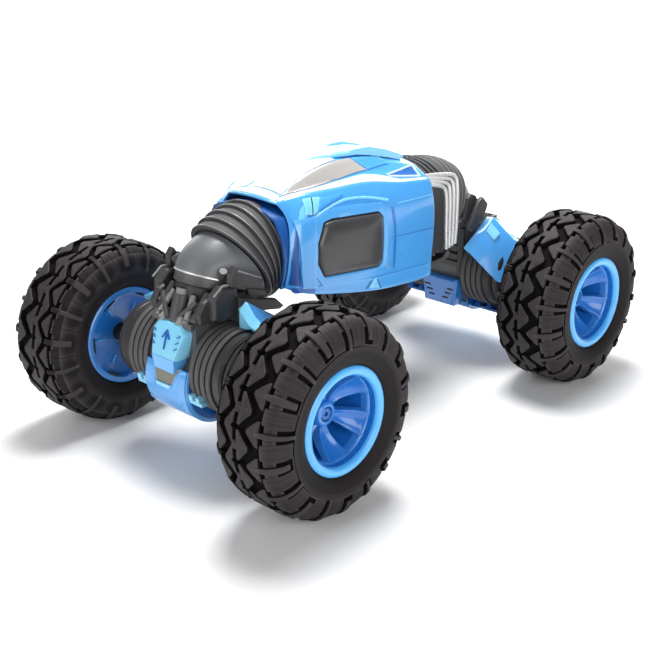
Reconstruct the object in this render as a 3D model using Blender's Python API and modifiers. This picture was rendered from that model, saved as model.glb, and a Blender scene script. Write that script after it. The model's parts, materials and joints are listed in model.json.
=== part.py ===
"""Double-sided stunt car: a body between two axle modules that twist on slanted neck joints.

The car's front is +X, its left side is +Y and the ground is z = 0. Sizes are in millimetres
and MM turns them into Blender's metres.
"""
from math import acos, asin, atan2, cos, pi, radians, sin

import bmesh
import bpy
from mathutils import Matrix, Vector

MM = 0.001

# Driving sizes of the car
HALF_WHEELBASE = 108
HALF_TRACK = 79
AXLE_HEIGHT = 50
TYRE_RADIUS = 50
TYRE_HALF_WIDTH = 22
RIM_RADIUS = 26
RIM_HALF_WIDTH = 18.9
SHAFT_RADIUS = 1.9
HUB_BORE = 2.3
WALL = 1.6
GAP = 0.4

# Elbows: each is a fan of rings about a pivot line under the body's end
ELBOW_DROP = 75.5
ELBOW_ARM = 28.5
ELBOW_RADIUS = 26
ELBOW_GROOVE = 23.8
ELBOW_TUBE = 22.4
ELBOW_BORE = 20.6
JOURNAL_RADIUS = 14
ENDS = {
    "front": {"sign": 1, "pivot": 72, "tilt": 32.0, "rings": 5, "tube": 13},
    "rear": {"sign": -1, "pivot": 62, "tilt": 27.6, "rings": 5, "tube": 11},
}

# Gears: one tooth count and module for the wheel drive and the twist drive
GEAR_TEETH = 24
PINION_TEETH = 8
GEAR_FORM = {"root": 10.8, "tip": 12.5, "root_width": 1.9, "tip_width": 0.6}
PINION_FORM = {"root": 2.9, "tip": 4.7, "root_width": 1.5, "tip_width": 0.7}
GEAR_SPACING = 16
GEAR_FACE = 4
GEAR_INSET = 18
MOTOR_OFFSET = 7.5
MOTOR_RISE = (GEAR_SPACING ** 2 - MOTOR_OFFSET ** 2) ** 0.5
MOTOR_RADIUS = 7.2

# Axle module, in its own frame: x from the axle towards the car's end, z from the ground
BELLOWS_X = 1
BELLOWS_Z = 55
BELLOWS_RADIUS = 22.5
BELLOWS_GROOVE = 20.8
BELLOWS_BORE = 19.5
BELLOWS_SPAN = (15.3, 36.9)
CASE_HALF_WIDTH = 14.7
CASE_X = 16.5
CASE_TOP = 83.5
CHIN_X = 3
CHIN_Z = 47.5
CHIN_RADIUS = 22.2

# Body: (x, [(y, z) from the lower edge to the roof's middle])
SHELL_SECTIONS = [
    (79, [(27, 88), (30.5, 110), (28.5, 133), (16, 133), (0, 132)]),
    (66, [(29, 84), (32, 111), (29, 136), (16.5, 135), (0, 135)]),
    (50, [(31, 84), (33, 112), (30.5, 137), (17, 139), (0, 139.5)]),
    (30, [(31.5, 84), (33.5, 112), (30.5, 135.5), (16, 140.6), (0, 142.8)]),
    (10, [(31.5, 84), (33.5, 112), (30, 132.5), (15, 141), (0, 144.5)]),
    (-15, [(31, 84), (33, 110), (29, 127.5), (16, 135.5), (0, 141)]),
    (-38, [(29, 84), (32, 110), (28, 127.5), (20, 131), (0, 134.7)]),
]
COWL_SECTIONS = [
    (-38.6, [(27, 84), (29.5, 106), (26.5, 124), (15, 129.6), (0, 132)]),
    (-60, [(24, 84), (27, 105), (24, 122), (14, 128.4), (0, 130.4)]),
]
TUB_OUTLINE = [(-57, 81), (-57, 75), (-53, 72), (27, 72), (56, 81), (56, 83.4), (-50, 83.4), (-50, 81)]
TUB_HOLLOW = [(-55, 90), (-55, 76), (-52.4, 74), (26.7, 74), (50, 81.2), (54, 83), (54, 90)]
TUB_HALF_WIDTH = 30.5
FLOOR_Z = 72
WINDOW_OUTLINE = [(51, 91), (51.5, 119), (9, 116), (7, 87)]
SHAFT_HEIGHT = 104
TWIST_GEAR_X = -12

FRAME_PARTS = bpy.data.collections.new("rc_stunt_car")
CUTTERS = bpy.data.collections.new("cutters")


# ---------------------------------------------------------------- scene and materials

def clear_scene():
    """Remove what the file opened with, then make the two collections."""
    for item in list(bpy.data.objects):
        bpy.data.objects.remove(item, do_unlink=True)
    for collection in (FRAME_PARTS, CUTTERS):
        bpy.context.scene.collection.children.link(collection)


def make_material(name, color, roughness, metallic=0.0):
    """A Principled material with one flat colour."""
    material = bpy.data.materials.new(name)
    material.use_nodes = True
    shader = material.node_tree.nodes["Principled BSDF"]
    shader.inputs["Base Color"].default_value = (*color, 1)
    shader.inputs["Roughness"].default_value = roughness
    shader.inputs["Metallic"].default_value = metallic
    material.diffuse_color = (*color, 1)
    return material


FINISHES = {
    "blue": ((0.09, 0.40, 0.91), 0.28, 0.0),
    "dark": ((0.035, 0.035, 0.038), 0.45, 0.0),
    "tyre": ((0.022, 0.020, 0.020), 0.7, 0.0),
    "glass": ((0.62, 0.62, 0.60), 0.15, 0.0),
    "steel": ((0.55, 0.55, 0.56), 0.3, 1.0),
    "brass": ((0.70, 0.50, 0.20), 0.3, 1.0),
    "white": ((0.80, 0.80, 0.78), 0.5, 0.0),
    "green": ((0.02, 0.22, 0.08), 0.5, 0.0),
}


def add_part(name, mesh, finish, place=None, parent=None):
    """Put a mesh in the scene as a named part with a material of its own."""
    part = bpy.data.objects.new(name, mesh)
    part.data.materials.append(make_material(f"{name}_{finish}", *FINISHES[finish]))
    FRAME_PARTS.objects.link(part)
    if place is not None:
        part.matrix_world = place
    if parent is not None:
        part.parent = parent
        part.matrix_parent_inverse = Matrix.Translation(parent.location).inverted()
    return part


def add_joint(name, x, y, z):
    """An empty on a joint's axis, for the parts that move about it."""
    joint = bpy.data.objects.new(name, None)
    joint.location = Vector((x, y, z)) * MM
    FRAME_PARTS.objects.link(joint)
    return joint


# ---------------------------------------------------------------- shape helpers

def finish_mesh(name, bm):
    """Scale a millimetre bmesh to metres, face it outwards and store it."""
    bmesh.ops.scale(bm, vec=(MM, MM, MM), verts=bm.verts)
    bmesh.ops.recalc_face_normals(bm, faces=bm.faces)
    mesh = bpy.data.meshes.new(name)
    bm.to_mesh(mesh)
    bm.free()
    return mesh


def box(name, low, high):
    """A box between two corners."""
    bm = bmesh.new()
    bmesh.ops.create_cube(bm, size=1)
    size = [b - a for a, b in zip(low, high)]
    middle = [(a + b) / 2 for a, b in zip(low, high)]
    bmesh.ops.scale(bm, vec=size, verts=bm.verts)
    bmesh.ops.translate(bm, vec=middle, verts=bm.verts)
    return finish_mesh(name, bm)


def cylinder(name, radius, start, end, segments=16):
    """A solid cylinder between two points."""
    bm = bmesh.new()
    axis = Vector(end) - Vector(start)
    turn = axis.to_track_quat("Z", "Y").to_matrix().to_4x4()
    middle = Matrix.Translation((Vector(start) + Vector(end)) / 2)
    bmesh.ops.create_cone(bm, cap_ends=True, segments=segments, radius1=radius, radius2=radius,
                          depth=axis.length, matrix=middle @ turn)
    return finish_mesh(name, bm)


def prism(name, outline, y_low, y_high):
    """An outline in the XZ plane, extruded along Y."""
    bm = bmesh.new()
    face = bm.faces.new([bm.verts.new((x, y_low, z)) for x, z in outline])
    grown = bmesh.ops.extrude_face_region(bm, geom=[face])
    moved = [item for item in grown["geom"] if isinstance(item, bmesh.types.BMVert)]
    bmesh.ops.translate(bm, vec=(0, y_high - y_low, 0), verts=moved)
    return finish_mesh(name, bm)


def loft(name, rings, closed):
    """A skin through rings of points: a closed loop of rings, or one capped at both ends."""
    bm = bmesh.new()
    rows = [[bm.verts.new(point) for point in ring] for ring in rings]
    pairs = list(zip(rows, rows[1:]))
    if closed:
        pairs.append((rows[-1], rows[0]))
    for first, second in pairs:
        for k in range(len(first)):
            after = (k + 1) % len(first)
            bm.faces.new((first[k], first[after], second[after], second[k]))
    if not closed:
        bm.faces.new(rows[0])
        bm.faces.new(list(reversed(rows[-1])))
    return finish_mesh(name, bm)


def circle(centre, tilt, radius, segments=20):
    """A ring across a path that leans `tilt` degrees down from +X, centred in the XZ plane."""
    lean = radians(tilt)
    return [(centre[0] + radius * cos(turn) * sin(lean), radius * sin(turn),
             centre[1] + radius * cos(turn) * cos(lean))
            for turn in (2 * pi * k / segments for k in range(segments))]


def profile_loop(name, profile):
    """A closed (radius, height) profile in the XZ plane, in metres."""
    bm = bmesh.new()
    points = [bm.verts.new((radius, 0, height)) for radius, height in profile]
    for k, point in enumerate(points):
        bm.edges.new((point, points[(k + 1) % len(points)]))
    bmesh.ops.scale(bm, vec=(MM, MM, MM), verts=bm.verts)
    mesh = bpy.data.meshes.new(name)
    bm.to_mesh(mesh)
    bm.free()
    return mesh


def add_turned(name, profile, segments, finish, place, parent=None):
    """A profile spun about the part's own Z by a Screw modifier."""
    part = add_part(name, profile_loop(name, profile), finish, place, parent)
    screw = part.modifiers.new("turn", "SCREW")
    screw.steps = segments
    screw.render_steps = segments
    screw.use_merge_vertices = True
    screw.merge_threshold = 0.00001
    screw.use_normal_calculate = True
    return part


def combine(part, mesh, operation):
    """Cut a mesh from a part, or join it on, in the part's own frame."""
    tool = bpy.data.objects.new(f"{part.name}_tool_{len(part.modifiers)}", mesh)
    CUTTERS.objects.link(tool)
    tool.matrix_world = part.matrix_world
    tool.hide_render = True
    tool.display_type = "WIRE"
    modifier = part.modifiers.new(operation.lower(), "BOOLEAN")
    modifier.operation = operation
    modifier.solver = "EXACT"
    modifier.object = tool


def rounded(outline, radius, steps=3):
    """Round the corners of a convex outline with short arcs."""
    result = []
    for k, corner in enumerate(outline):
        here = Vector(corner)
        back = (Vector(outline[k - 1]) - here).normalized()
        ahead = (Vector(outline[(k + 1) % len(outline)]) - here).normalized()
        half = acos(back.dot(ahead)) / 2
        centre = here + (back + ahead).normalized() * radius / sin(half)
        start = here + back * radius / (sin(half) / cos(half)) - centre
        end = here + ahead * radius / (sin(half) / cos(half)) - centre
        for step in range(steps + 1):
            spoke = start.lerp(end, step / steps).normalized() * radius
            result.append(tuple(centre + spoke))
    return result


def gear_outline(teeth, form, phase):
    """Straight-sided teeth round a circle; a tooth is centred on the phase angle."""
    points = []
    for k in range(teeth):
        middle = phase + 2 * pi * k / teeth
        for radius, width, side in ((form["root"], form["root_width"], -1),
                                    (form["tip"], form["tip_width"], -1),
                                    (form["tip"], form["tip_width"], 1),
                                    (form["root"], form["root_width"], 1)):
            angle = middle + side * asin(width / 2 / radius)
            points.append((radius * cos(angle), radius * sin(angle)))
    return points


def flat_gear(name, teeth, form, phase, bore):
    """A toothed disc about Z with a round bore."""
    bm = bmesh.new()
    outer = [bm.verts.new((x, y, -GEAR_FACE / 2)) for x, y in gear_outline(teeth, form, phase)]
    inner = [bm.verts.new((bore * cos(a), bore * sin(a), -GEAR_FACE / 2))
             for a in (2 * pi * k / 8 for k in range(8))]
    edges = [bm.edges.new((loop[k], loop[(k + 1) % len(loop)]))
             for loop in (outer, inner) for k in range(len(loop))]
    bmesh.ops.triangle_fill(bm, use_beauty=True, edges=edges)
    grown = bmesh.ops.extrude_face_region(bm, geom=bm.faces[:])
    moved = [item for item in grown["geom"] if isinstance(item, bmesh.types.BMVert)]
    bmesh.ops.translate(bm, vec=(0, 0, GEAR_FACE), verts=moved)
    return finish_mesh(name, bm)


# ---------------------------------------------------------------- wheels

def wheel_place(end_sign, side, out):
    """A wheel-frame matrix: local Z points out of the car, `out` millimetres from its middle."""
    spot = Vector((end_sign * HALF_WHEELBASE, side * out, AXLE_HEIGHT)) * MM
    return Matrix.Translation(spot) @ Matrix.Rotation(-side * pi / 2, 4, "X")


def tyre_profile():
    """A hollow tyre: round shoulders outside, an open channel towards the rim."""
    half = [(25.1, 16.6), (32, 20), (41, TYRE_HALF_WIDTH), (48, 17), (TYRE_RADIUS, 8)]
    outside = half + [(r, -z) for r, z in reversed(half)]
    return outside + [(25.1, -13), (43, -12), (43, 12), (25.1, 13)]


def rim_profile():
    """A rim: two lips, a drum and a thick web with a hub."""
    lip = RIM_HALF_WIDTH
    return [(22.5, lip), (RIM_RADIUS, lip), (RIM_RADIUS, lip - 1.4), (24.5, lip - 1.4),
            (24.5, 1.4 - lip), (RIM_RADIUS, 1.4 - lip), (RIM_RADIUS, -lip), (22.5, -lip),
            (21.8, -4), (HUB_BORE, -6), (HUB_BORE, 5), (7, 5), (7, 2), (21.8, 0)]


def make_wheel(name, end_sign, side):
    """Tyre, rim, axle shaft, gear and nut of one wheel."""
    joint = add_joint(f"{name}_wheel_axis", end_sign * HALF_WHEELBASE, side * HALF_TRACK, AXLE_HEIGHT)
    place = wheel_place(end_sign, side, HALF_TRACK)
    add_turned(f"{name}_tyre", tyre_profile(), 28, "tyre", place, joint)

    rim = add_turned(f"{name}_rim", rim_profile(), 20, "blue", place, joint)
    for k in range(6):
        turn = radians(60 * k)
        spot = (14.5 * cos(turn), 14.5 * sin(turn))
        hole = cylinder(f"{name}_rim_hole_{k}", 4.4, (*spot, -8), (*spot, 8), 6)
        combine(rim, hole, "DIFFERENCE")

    shaft = cylinder(f"{name}_axle_shaft", SHAFT_RADIUS, (0, 0, 10 - HALF_TRACK), (0, 0, 0), 10)
    add_part(f"{name}_axle_shaft", shaft, "steel", place, joint)

    nut = [(1.6, 0.4), (1.6, 5.4), (3.6, 5.4), (3.6, 7.8)]
    nut_mesh = loft(f"{name}_wheel_nut", [[(r * cos(a), r * sin(a), z) for a in
                    (2 * pi * k / 6 for k in range(6))] for r, z in nut], closed=False)
    add_part(f"{name}_wheel_nut", nut_mesh, "steel", place, joint)

    offset, rise = motor_offset(end_sign, side)
    toward = atan2(-side * rise, offset)
    gear_mesh = flat_gear(f"{name}_wheel_gear", GEAR_TEETH, GEAR_FORM, toward, HUB_BORE)
    add_part(f"{name}_wheel_gear", gear_mesh, "white", wheel_place(end_sign, side, GEAR_INSET), joint)


def motor_offset(end_sign, side):
    """Where a wheel's motor sits from its axle: the two motors of a module lean apart."""
    return (-MOTOR_OFFSET * side, MOTOR_RISE)


def make_drive(name, end_sign, side, module):
    """The motor and pinion that turn one wheel."""
    offset, rise = motor_offset(end_sign, side)
    x = end_sign * HALF_WHEELBASE + offset
    z = AXLE_HEIGHT + rise
    inner, outer = -12.0 * side, 12.6 * side
    motor = add_part(f"{name}_motor", cylinder(f"{name}_motor", MOTOR_RADIUS, (x, inner, z),
                     (x, outer, z), 16), "steel", None, module)
    combine(motor, cylinder(f"{name}_motor_shaft", 1.0, (x, 0, z), (x, 20.4 * side, z), 10), "UNION")

    joint = add_joint(f"{name}_pinion_axis", x, GEAR_INSET * side, z)
    joint.parent = module
    joint.matrix_parent_inverse = Matrix.Translation(module.location).inverted()
    toward = atan2(side * rise, -offset) + pi / PINION_TEETH
    pinion_mesh = flat_gear(f"{name}_pinion", PINION_TEETH, PINION_FORM, toward, 1.4)
    spot = Matrix.Translation(Vector((x, GEAR_INSET * side, z)) * MM)
    pinion = add_part(f"{name}_pinion", pinion_mesh, "brass", spot @ Matrix.Rotation(-side * pi / 2, 4, "X"))
    pinion.parent = joint
    pinion.matrix_parent_inverse = Matrix.Translation(Vector((x, GEAR_INSET * side, z)) * MM).inverted()


# ---------------------------------------------------------------- axle modules

def twist_frame(end):
    """The twist joint's centre (distance from the car's middle, height) and its outward axis."""
    lean = radians(end["tilt"])
    centre = (end["pivot"] + ELBOW_ARM * sin(lean), ELBOW_DROP + ELBOW_ARM * cos(lean))
    return centre, (cos(lean), -sin(lean))


def along(end, distance):
    """A point on the twist axis, `distance` outwards of the joint's face."""
    (x, z), (ax, az) = twist_frame(end)
    return (x + distance * ax, z + distance * az)


def module_place(end):
    """A module's frame: the front one as drawn, the rear one turned half round."""
    turn = 0 if end["sign"] > 0 else pi
    return Matrix.Rotation(turn, 4, "Z")


def module_x(x):
    """Module pieces are drawn at the front, measured from the axle."""
    return HALF_WHEELBASE + x


def arc(centre_x, centre_z, radius, start, stop, steps):
    """Points along an arc in the XZ plane, angles in degrees from +X upwards."""
    turns = [radians(start + (stop - start) * k / steps) for k in range(steps + 1)]
    return [(centre_x + radius * cos(turn), centre_z + radius * sin(turn)) for turn in turns]


def make_neck(name, end, module):
    """The dome over a gearbox, with the journal and collar that turn in the elbow's end wall."""
    tilt = end["tilt"]
    top = module_x(-1.5)
    if end["sign"] > 0:
        dome = [((top, CASE_TOP + 0.6), 90, 17), ((105, 90), 75, 20), ((102, 95), 60, 23.2),
                ((96, 99), 45, 23.6)]
    else:
        dome = [((top, CASE_TOP + 0.6), 90, 17), ((103, 90.5), 75, 20.5), ((97, 95.5), 60, 23.4),
                ((88, 99), 44, 23.6)]
    rings = [circle(centre, lean, radius) for centre, lean, radius in dome]
    for distance, radius in ((0.4, 22), (0.4, JOURNAL_RADIUS), (-3.4, JOURNAL_RADIUS), (-3.4, 17),
                             (-5.6, 17), (-5.6, 6.2), (2, 6.2)):
        rings.append(circle(along(end, distance), tilt, radius))
    rings.append(circle((dome[2][0][0] - 1, dome[2][0][1] - 2), 60, 9))
    rings.append(circle((top, CASE_TOP + 0.6), 90, 12))
    add_part(f"{name}_neck_housing", loft(f"{name}_neck_housing", rings, closed=True), "dark",
             module_place(end), module)


def make_gearbox(name, end, module):
    """The gearbox case: a box on a barrel, open at the top, with shaft holes."""
    low_arc = arc(module_x(CHIN_X), CHIN_Z, 19.4, 180, 355, 12)
    outline = [(module_x(-CASE_X), CASE_TOP), (module_x(-CASE_X), CHIN_Z)] + low_arc[1:]
    outline += [(module_x(21), 54), (module_x(CASE_X), 61), (module_x(CASE_X), CASE_TOP)]
    case_mesh = prism(f"{name}_gearbox_case", outline, -CASE_HALF_WIDTH, CASE_HALF_WIDTH)
    case = add_part(f"{name}_gearbox_case", case_mesh, "dark", module_place(end), module)
    inside = CASE_HALF_WIDTH - 1.4
    combine(case, box("case_hollow", (module_x(1.4 - CASE_X), -inside, 45.6),
                      (module_x(CASE_X - 1.4), inside, 95)), "DIFFERENCE")
    axle = (module_x(0), AXLE_HEIGHT)
    combine(case, cylinder("axle_bore", HUB_BORE, (axle[0], -20, axle[1]), (axle[0], 20, axle[1]), 12),
            "DIFFERENCE")
    for side in (1, -1):
        x, z = module_x(-MOTOR_OFFSET * side), AXLE_HEIGHT + MOTOR_RISE
        combine(case, cylinder("motor_bore", 1.7, (x, 12 * side, z), (x, 20 * side, z), 10),
                "DIFFERENCE")


def make_chin(name, end, module):
    """The coloured barrel guard with the badge block on its upper end."""
    centre = (module_x(CHIN_X), CHIN_Z)
    outline = arc(*centre, CHIN_RADIUS - 2.3, 24, -128, 16)
    outline += arc(*centre, CHIN_RADIUS, -128, 24, 16)
    outline += [(module_x(26.6), 62), (module_x(21.4), 79.2), (module_x(17.2), 79.2),
                (module_x(17.2), 62)]
    add_part(f"{name}_chin_guard", prism(f"{name}_chin_guard", outline, -15, 15), "blue",
             module_place(end), module)


def make_yoke(name, end, module):
    """Two armour plates beside the neck, joined by a bar across the front."""
    outline = [(74.5, 79.5), (87.9, 85), (98.9, 89), (114, 79.8), (117.5, 80.6), (124.6, 84),
               (124.6, 86), (109.3, 98.9), (105, 106), (102.6, 97.8), (88.5, 96.2)]
    plate = prism(f"{name}_armour_yoke", outline, 24.2, 27.2)
    yoke = add_part(f"{name}_armour_yoke", plate, "dark", module_place(end), module)
    combine(yoke, prism("far_plate", outline, -27.2, -24.2), "UNION")
    combine(yoke, box("yoke_bar", (124.9, -27.2, 80.2), (128.4, 27.2, 86)), "UNION")
    combine(yoke, box("yoke_lug_near", (123.2, 24.2, 82), (126.4, 27.2, 85)), "UNION")
    combine(yoke, box("yoke_lug_far", (123.2, -27.2, 82), (126.4, -24.2, 85)), "UNION")


def make_bellows(name, end, side, module):
    """A rubber sleeve of four ribs round the half axle."""
    start, stop = BELLOWS_SPAN
    rib = (stop - start) / 4
    outside = [(BELLOWS_GROOVE, start)]
    for k in range(4):
        foot = start + k * rib
        outside += [(BELLOWS_RADIUS, foot + 0.5 * rib), (BELLOWS_GROOVE, foot + rib)]
    profile = list(reversed(outside)) + [(BELLOWS_BORE, start), (BELLOWS_BORE, stop)]
    spot = Vector((end["sign"] * (HALF_WHEELBASE + BELLOWS_X), 0, BELLOWS_Z)) * MM
    place = Matrix.Translation(spot) @ Matrix.Rotation(-side * pi / 2, 4, "X")
    add_turned(f"{name}_bellows", profile, 20, "dark", place, module)


def fairing_rings(side):
    """Cross-sections of the arm's wing: a band that leans outwards round the bellows."""
    rings = []
    for k in range(8):
        turn = radians(107 + 11.5 * k)
        reach = 33.5 - 6 * max(0, k - 4) / 3
        section = [(reach, 20.5), (27.5, 46.5), (24, 46.5), (24, 37.2), (reach - 3, 20.5)]
        rings.append([(module_x(BELLOWS_X) + r * cos(turn), side * y, BELLOWS_Z + r * sin(turn))
                      for r, y in section])
    return rings


def make_arm(name, end, side, module):
    """The hub carrier: a disc on the bellows' outer end, a bearing tube and a raised wing."""
    local_side = side * end["sign"]
    arm = add_part(f"{name}_arm", loft(f"{name}_arm", fairing_rings(local_side), closed=False), "blue",
                   module_place(end), module)
    centre = (module_x(BELLOWS_X), BELLOWS_Z)
    axle = (module_x(0), AXLE_HEIGHT)
    combine(arm, cylinder("arm_disc", 25.2, (centre[0], 37.5 * local_side, centre[1]),
                          (centre[0], 41 * local_side, centre[1]), 24), "UNION")
    combine(arm, cylinder("arm_tube", 5, (axle[0], 39 * local_side, axle[1]),
                          (axle[0], 72 * local_side, axle[1]), 16), "UNION")
    combine(arm, cylinder("arm_bore", HUB_BORE, (axle[0], 30 * local_side, axle[1]),
                          (axle[0], 80 * local_side, axle[1]), 12), "DIFFERENCE")


def make_module(name, end):
    """One axle module, carried by its twist joint."""
    (x, z), _ = twist_frame(end)
    module = add_joint(f"{name}_twist_axis", end["sign"] * x, 0, z)
    make_neck(name, end, module)
    make_gearbox(name, end, module)
    make_chin(name, end, module)
    make_yoke(name, end, module)
    for side_name, side in (("left", 1), ("right", -1)):
        make_bellows(f"{name}_{side_name}", end, side, module)
        make_arm(f"{name}_{side_name}", end, side, module)
        make_drive(f"{name}_{side_name}", end["sign"], side, module)
        make_wheel(f"{name}_{side_name}", end["sign"], side)


# ---------------------------------------------------------------- body

def make_elbow(name, end):
    """The ringed elbow: a hollow fan of rings with an end wall that holds the journal."""
    pivot = end["pivot"]
    hub = ELBOW_DROP + ELBOW_ARM

    def fan(lean, radius):
        spot = (pivot + ELBOW_ARM * sin(radians(lean)), ELBOW_DROP + ELBOW_ARM * cos(radians(lean)))
        return circle(spot, lean, radius)

    rings = [circle((pivot - end["tube"], hub), 0, ELBOW_TUBE), circle((pivot - 0.6, hub), 0, ELBOW_TUBE)]
    step = end["tilt"] / end["rings"]
    for k in range(end["rings"]):
        rings += [fan((k + 0.4) * step, ELBOW_RADIUS), fan((k + 1) * step, ELBOW_GROOVE)]
    for distance, radius in ((0, JOURNAL_RADIUS + GAP), (-3, JOURNAL_RADIUS + GAP), (-3, ELBOW_BORE)):
        rings.append(circle(along(end, distance), end["tilt"], radius))
    rings += [fan(8, ELBOW_BORE), circle((pivot, hub), 0, ELBOW_BORE),
              circle((pivot - end["tube"], hub), 0, ELBOW_BORE)]
    add_part(f"{name}_elbow", loft(f"{name}_elbow", rings, closed=True), "dark", module_place(end))


def half_skin(name, sections):
    """One side of an open shell through the sections, to be mirrored and thickened."""
    bm = bmesh.new()
    rows = [[bm.verts.new((x, y, z)) for y, z in points] for x, points in sections]
    for first, second in zip(rows, rows[1:]):
        for k in range(len(first) - 1):
            bm.faces.new((first[k], second[k], second[k + 1], first[k + 1]))
    return finish_mesh(name, bm)


def add_shell(name, sections, finish):
    """An open-bottomed shell, symmetric about the car's middle plane."""
    part = add_part(name, half_skin(name, sections), finish)
    mirror = part.modifiers.new("mirror", "MIRROR")
    mirror.use_axis = (False, True, False)
    mirror.merge_threshold = 0.00001
    thicken = part.modifiers.new("thicken", "SOLIDIFY")
    thicken.thickness = WALL * MM
    thicken.offset = -1
    return part


def roof_height(x, y):
    """The roof's height at a point, read from the body sections."""
    for (x_front, front), (x_back, back) in zip(SHELL_SECTIONS, SHELL_SECTIONS[1:]):
        if x_back <= x <= x_front:
            share = (x - x_back) / (x_front - x_back)
            points = [(b[0] + (f[0] - b[0]) * share, b[1] + (f[1] - b[1]) * share)
                      for f, b in zip(front, back)]
            for (y_out, z_out), (y_in, z_in) in zip(points[2:], points[3:]):
                if y_in <= y <= y_out:
                    return z_in + (z_out - z_in) * (y - y_in) / (y_out - y_in)
    raise ValueError("outside the roof")


def roof_panel(name, stations, lift, thickness, finish):
    """A thin panel that follows the roof, from stations of (x, half width)."""
    rings = []
    for x, half in stations:
        across = [half, half / 2, 0, -half / 2, -half]
        heights = [roof_height(x, abs(y)) for y in across]
        lower = [(x, y, z + lift) for y, z in zip(across, heights)]
        upper = [(x, y, z + lift + thickness) for y, z in zip(across, heights)]
        rings.append(lower + list(reversed(upper)))
    return add_part(name, loft(name, rings, closed=False), finish)


def make_body_shell():
    """The upper body, the windscreen, the side windows and the roof fin."""
    shell = add_shell("body_shell", SHELL_SECTIONS, "blue")
    opening = rounded([(x, z) for x, z in WINDOW_OUTLINE], 5)
    for side in (1, -1):
        low, high = sorted((20 * side, 45 * side))
        combine(shell, prism("window_opening", opening, low, high), "DIFFERENCE")
        centre = Vector((29.5, 103.5))
        fitted = [tuple(centre + (Vector(point) - centre) * 0.975) for point in opening]
        low, high = sorted((30.2 * side, 34.8 * side))
        window_name = "left_window" if side > 0 else "right_window"
        add_part(window_name, prism(window_name, fitted, low, high), "dark")
    stations = [(76, 11.5), (66, 13), (50, 14), (30, 11), (26, 8)]
    roof_panel("windshield", stations, 0.8, 1.2, "glass")

    fin_base = roof_panel("roof_fin", [(20, 8.5), (10, 9.5), (-2, 9.5), (-13, 8.5)], 0.9, 1.4, "blue")
    for side in (1, -1):
        outline = [(18, roof_height(18, 7) + 1.6), (22, roof_height(18, 7) + 3.4),
                   (4, roof_height(4, 7) + 4.8), (-12, roof_height(-12, 7) + 1.6)]
        low, high = sorted((6 * side, 8 * side))
        combine(fin_base, prism("roof_fin_blade", outline, low, high), "UNION")


def make_cowl():
    """The dark band behind the cabin, over the rear elbow's tube."""
    add_shell("rear_cowl", COWL_SECTIONS, "dark")


def make_chassis():
    """The tub, with its battery opening and switch slot."""
    tub = add_part("chassis_tub", prism("chassis_tub", TUB_OUTLINE, -TUB_HALF_WIDTH, TUB_HALF_WIDTH),
                   "blue")
    inside = TUB_HALF_WIDTH - 2
    combine(tub, prism("tub_hollow", TUB_HOLLOW, -inside, inside), "DIFFERENCE")
    combine(tub, box("battery_opening", (-25.4, -17.4, 60), (25.4, 17.4, 80)), "DIFFERENCE")
    combine(tub, box("switch_slot", (-42.5, -2.4, 60), (-33.5, 2.4, 80)), "DIFFERENCE")

    hinge = add_joint("battery_door_axis", 0, -17, FLOOR_Z)
    door = box("battery_door", (-25, -17, FLOOR_Z), (25, 17, FLOOR_Z + 2))
    add_part("battery_door", door, "dark", None, hinge)

    knob = [(-44, 74.4), (-42, 74.4), (-42, 70.6), (-38, 70.6), (-38, 74.4), (-36, 74.4),
            (-36, 76), (-44, 76)]
    add_part("power_switch", prism("power_switch", knob, -2, 2), "dark")

    pack = add_part("battery_pack", box("battery_pack", (-23, -15.5, 74.8), (23, 15.5, 87)), "white")
    bevel = pack.modifiers.new("bevel", "BEVEL")
    bevel.width = 2 * MM
    bevel.segments = 1

    board = add_part("control_board", box("control_board", (-49, -20, 88), (-25, 20, 89.6)), "green")
    combine(board, box("board_chip", (-43, -6, 89), (-31, 6, 91.4)), "UNION")
    combine(board, box("board_cap", (-47, 12, 89), (-41, 18, 93)), "UNION")


def make_twist_drive():
    """The motor, pinion and long ball-ended shaft that turn both modules."""
    reach = {}
    for name, end in ENDS.items():
        (x, z), (ax, az) = twist_frame(end)
        reach[name] = end["sign"] * (x - ax * (SHAFT_HEIGHT - z) / -az)
    ball = 5.0
    waist = asin(2.5 / ball)
    turns = [pi - (pi - waist) * k / 6 for k in range(1, 7)]
    front = [(reach["front"] - ball * cos(turn), ball * sin(turn)) for turn in turns]
    rear = [(reach["rear"] + ball * cos(turn), ball * sin(turn)) for turn in reversed(turns)]
    rings = [[(x, r * cos(a), r * sin(a)) for a in (2 * pi * k / 12 for k in range(12))]
             for x, r in front + rear]
    joint = add_joint("twist_shaft_axis", 0, 0, SHAFT_HEIGHT)
    place = Matrix.Translation(Vector((0, 0, SHAFT_HEIGHT)) * MM)
    shaft = add_part("twist_shaft", loft("twist_shaft", rings, closed=False), "steel", place, joint)

    lean = radians(-30)
    shaft_gear = flat_gear("twist_gear", GEAR_TEETH, GEAR_FORM, lean, 1.5)
    shaft_gear.transform(Matrix.Translation((TWIST_GEAR_X * MM, 0, 0)) @ flat_to_x())
    combine(shaft, shaft_gear, "UNION")

    y, z = GEAR_SPACING * cos(lean), SHAFT_HEIGHT + GEAR_SPACING * sin(lean)
    pinion_joint = add_joint("twist_pinion_axis", TWIST_GEAR_X, y, z)
    pinion_mesh = flat_gear("twist_pinion", PINION_TEETH, PINION_FORM, lean + pi + pi / PINION_TEETH, 1.4)
    spot = Matrix.Translation(Vector((TWIST_GEAR_X, y, z)) * MM)
    add_part("twist_pinion", pinion_mesh, "brass", spot @ flat_to_x(), pinion_joint)

    motor = add_part("twist_motor", cylinder("twist_motor", 7.5, (-9, y, z), (18, y, z), 16), "steel")
    combine(motor, cylinder("twist_motor_shaft", 1.0, (0, y, z), (-14.4, y, z), 10), "UNION")


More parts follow.
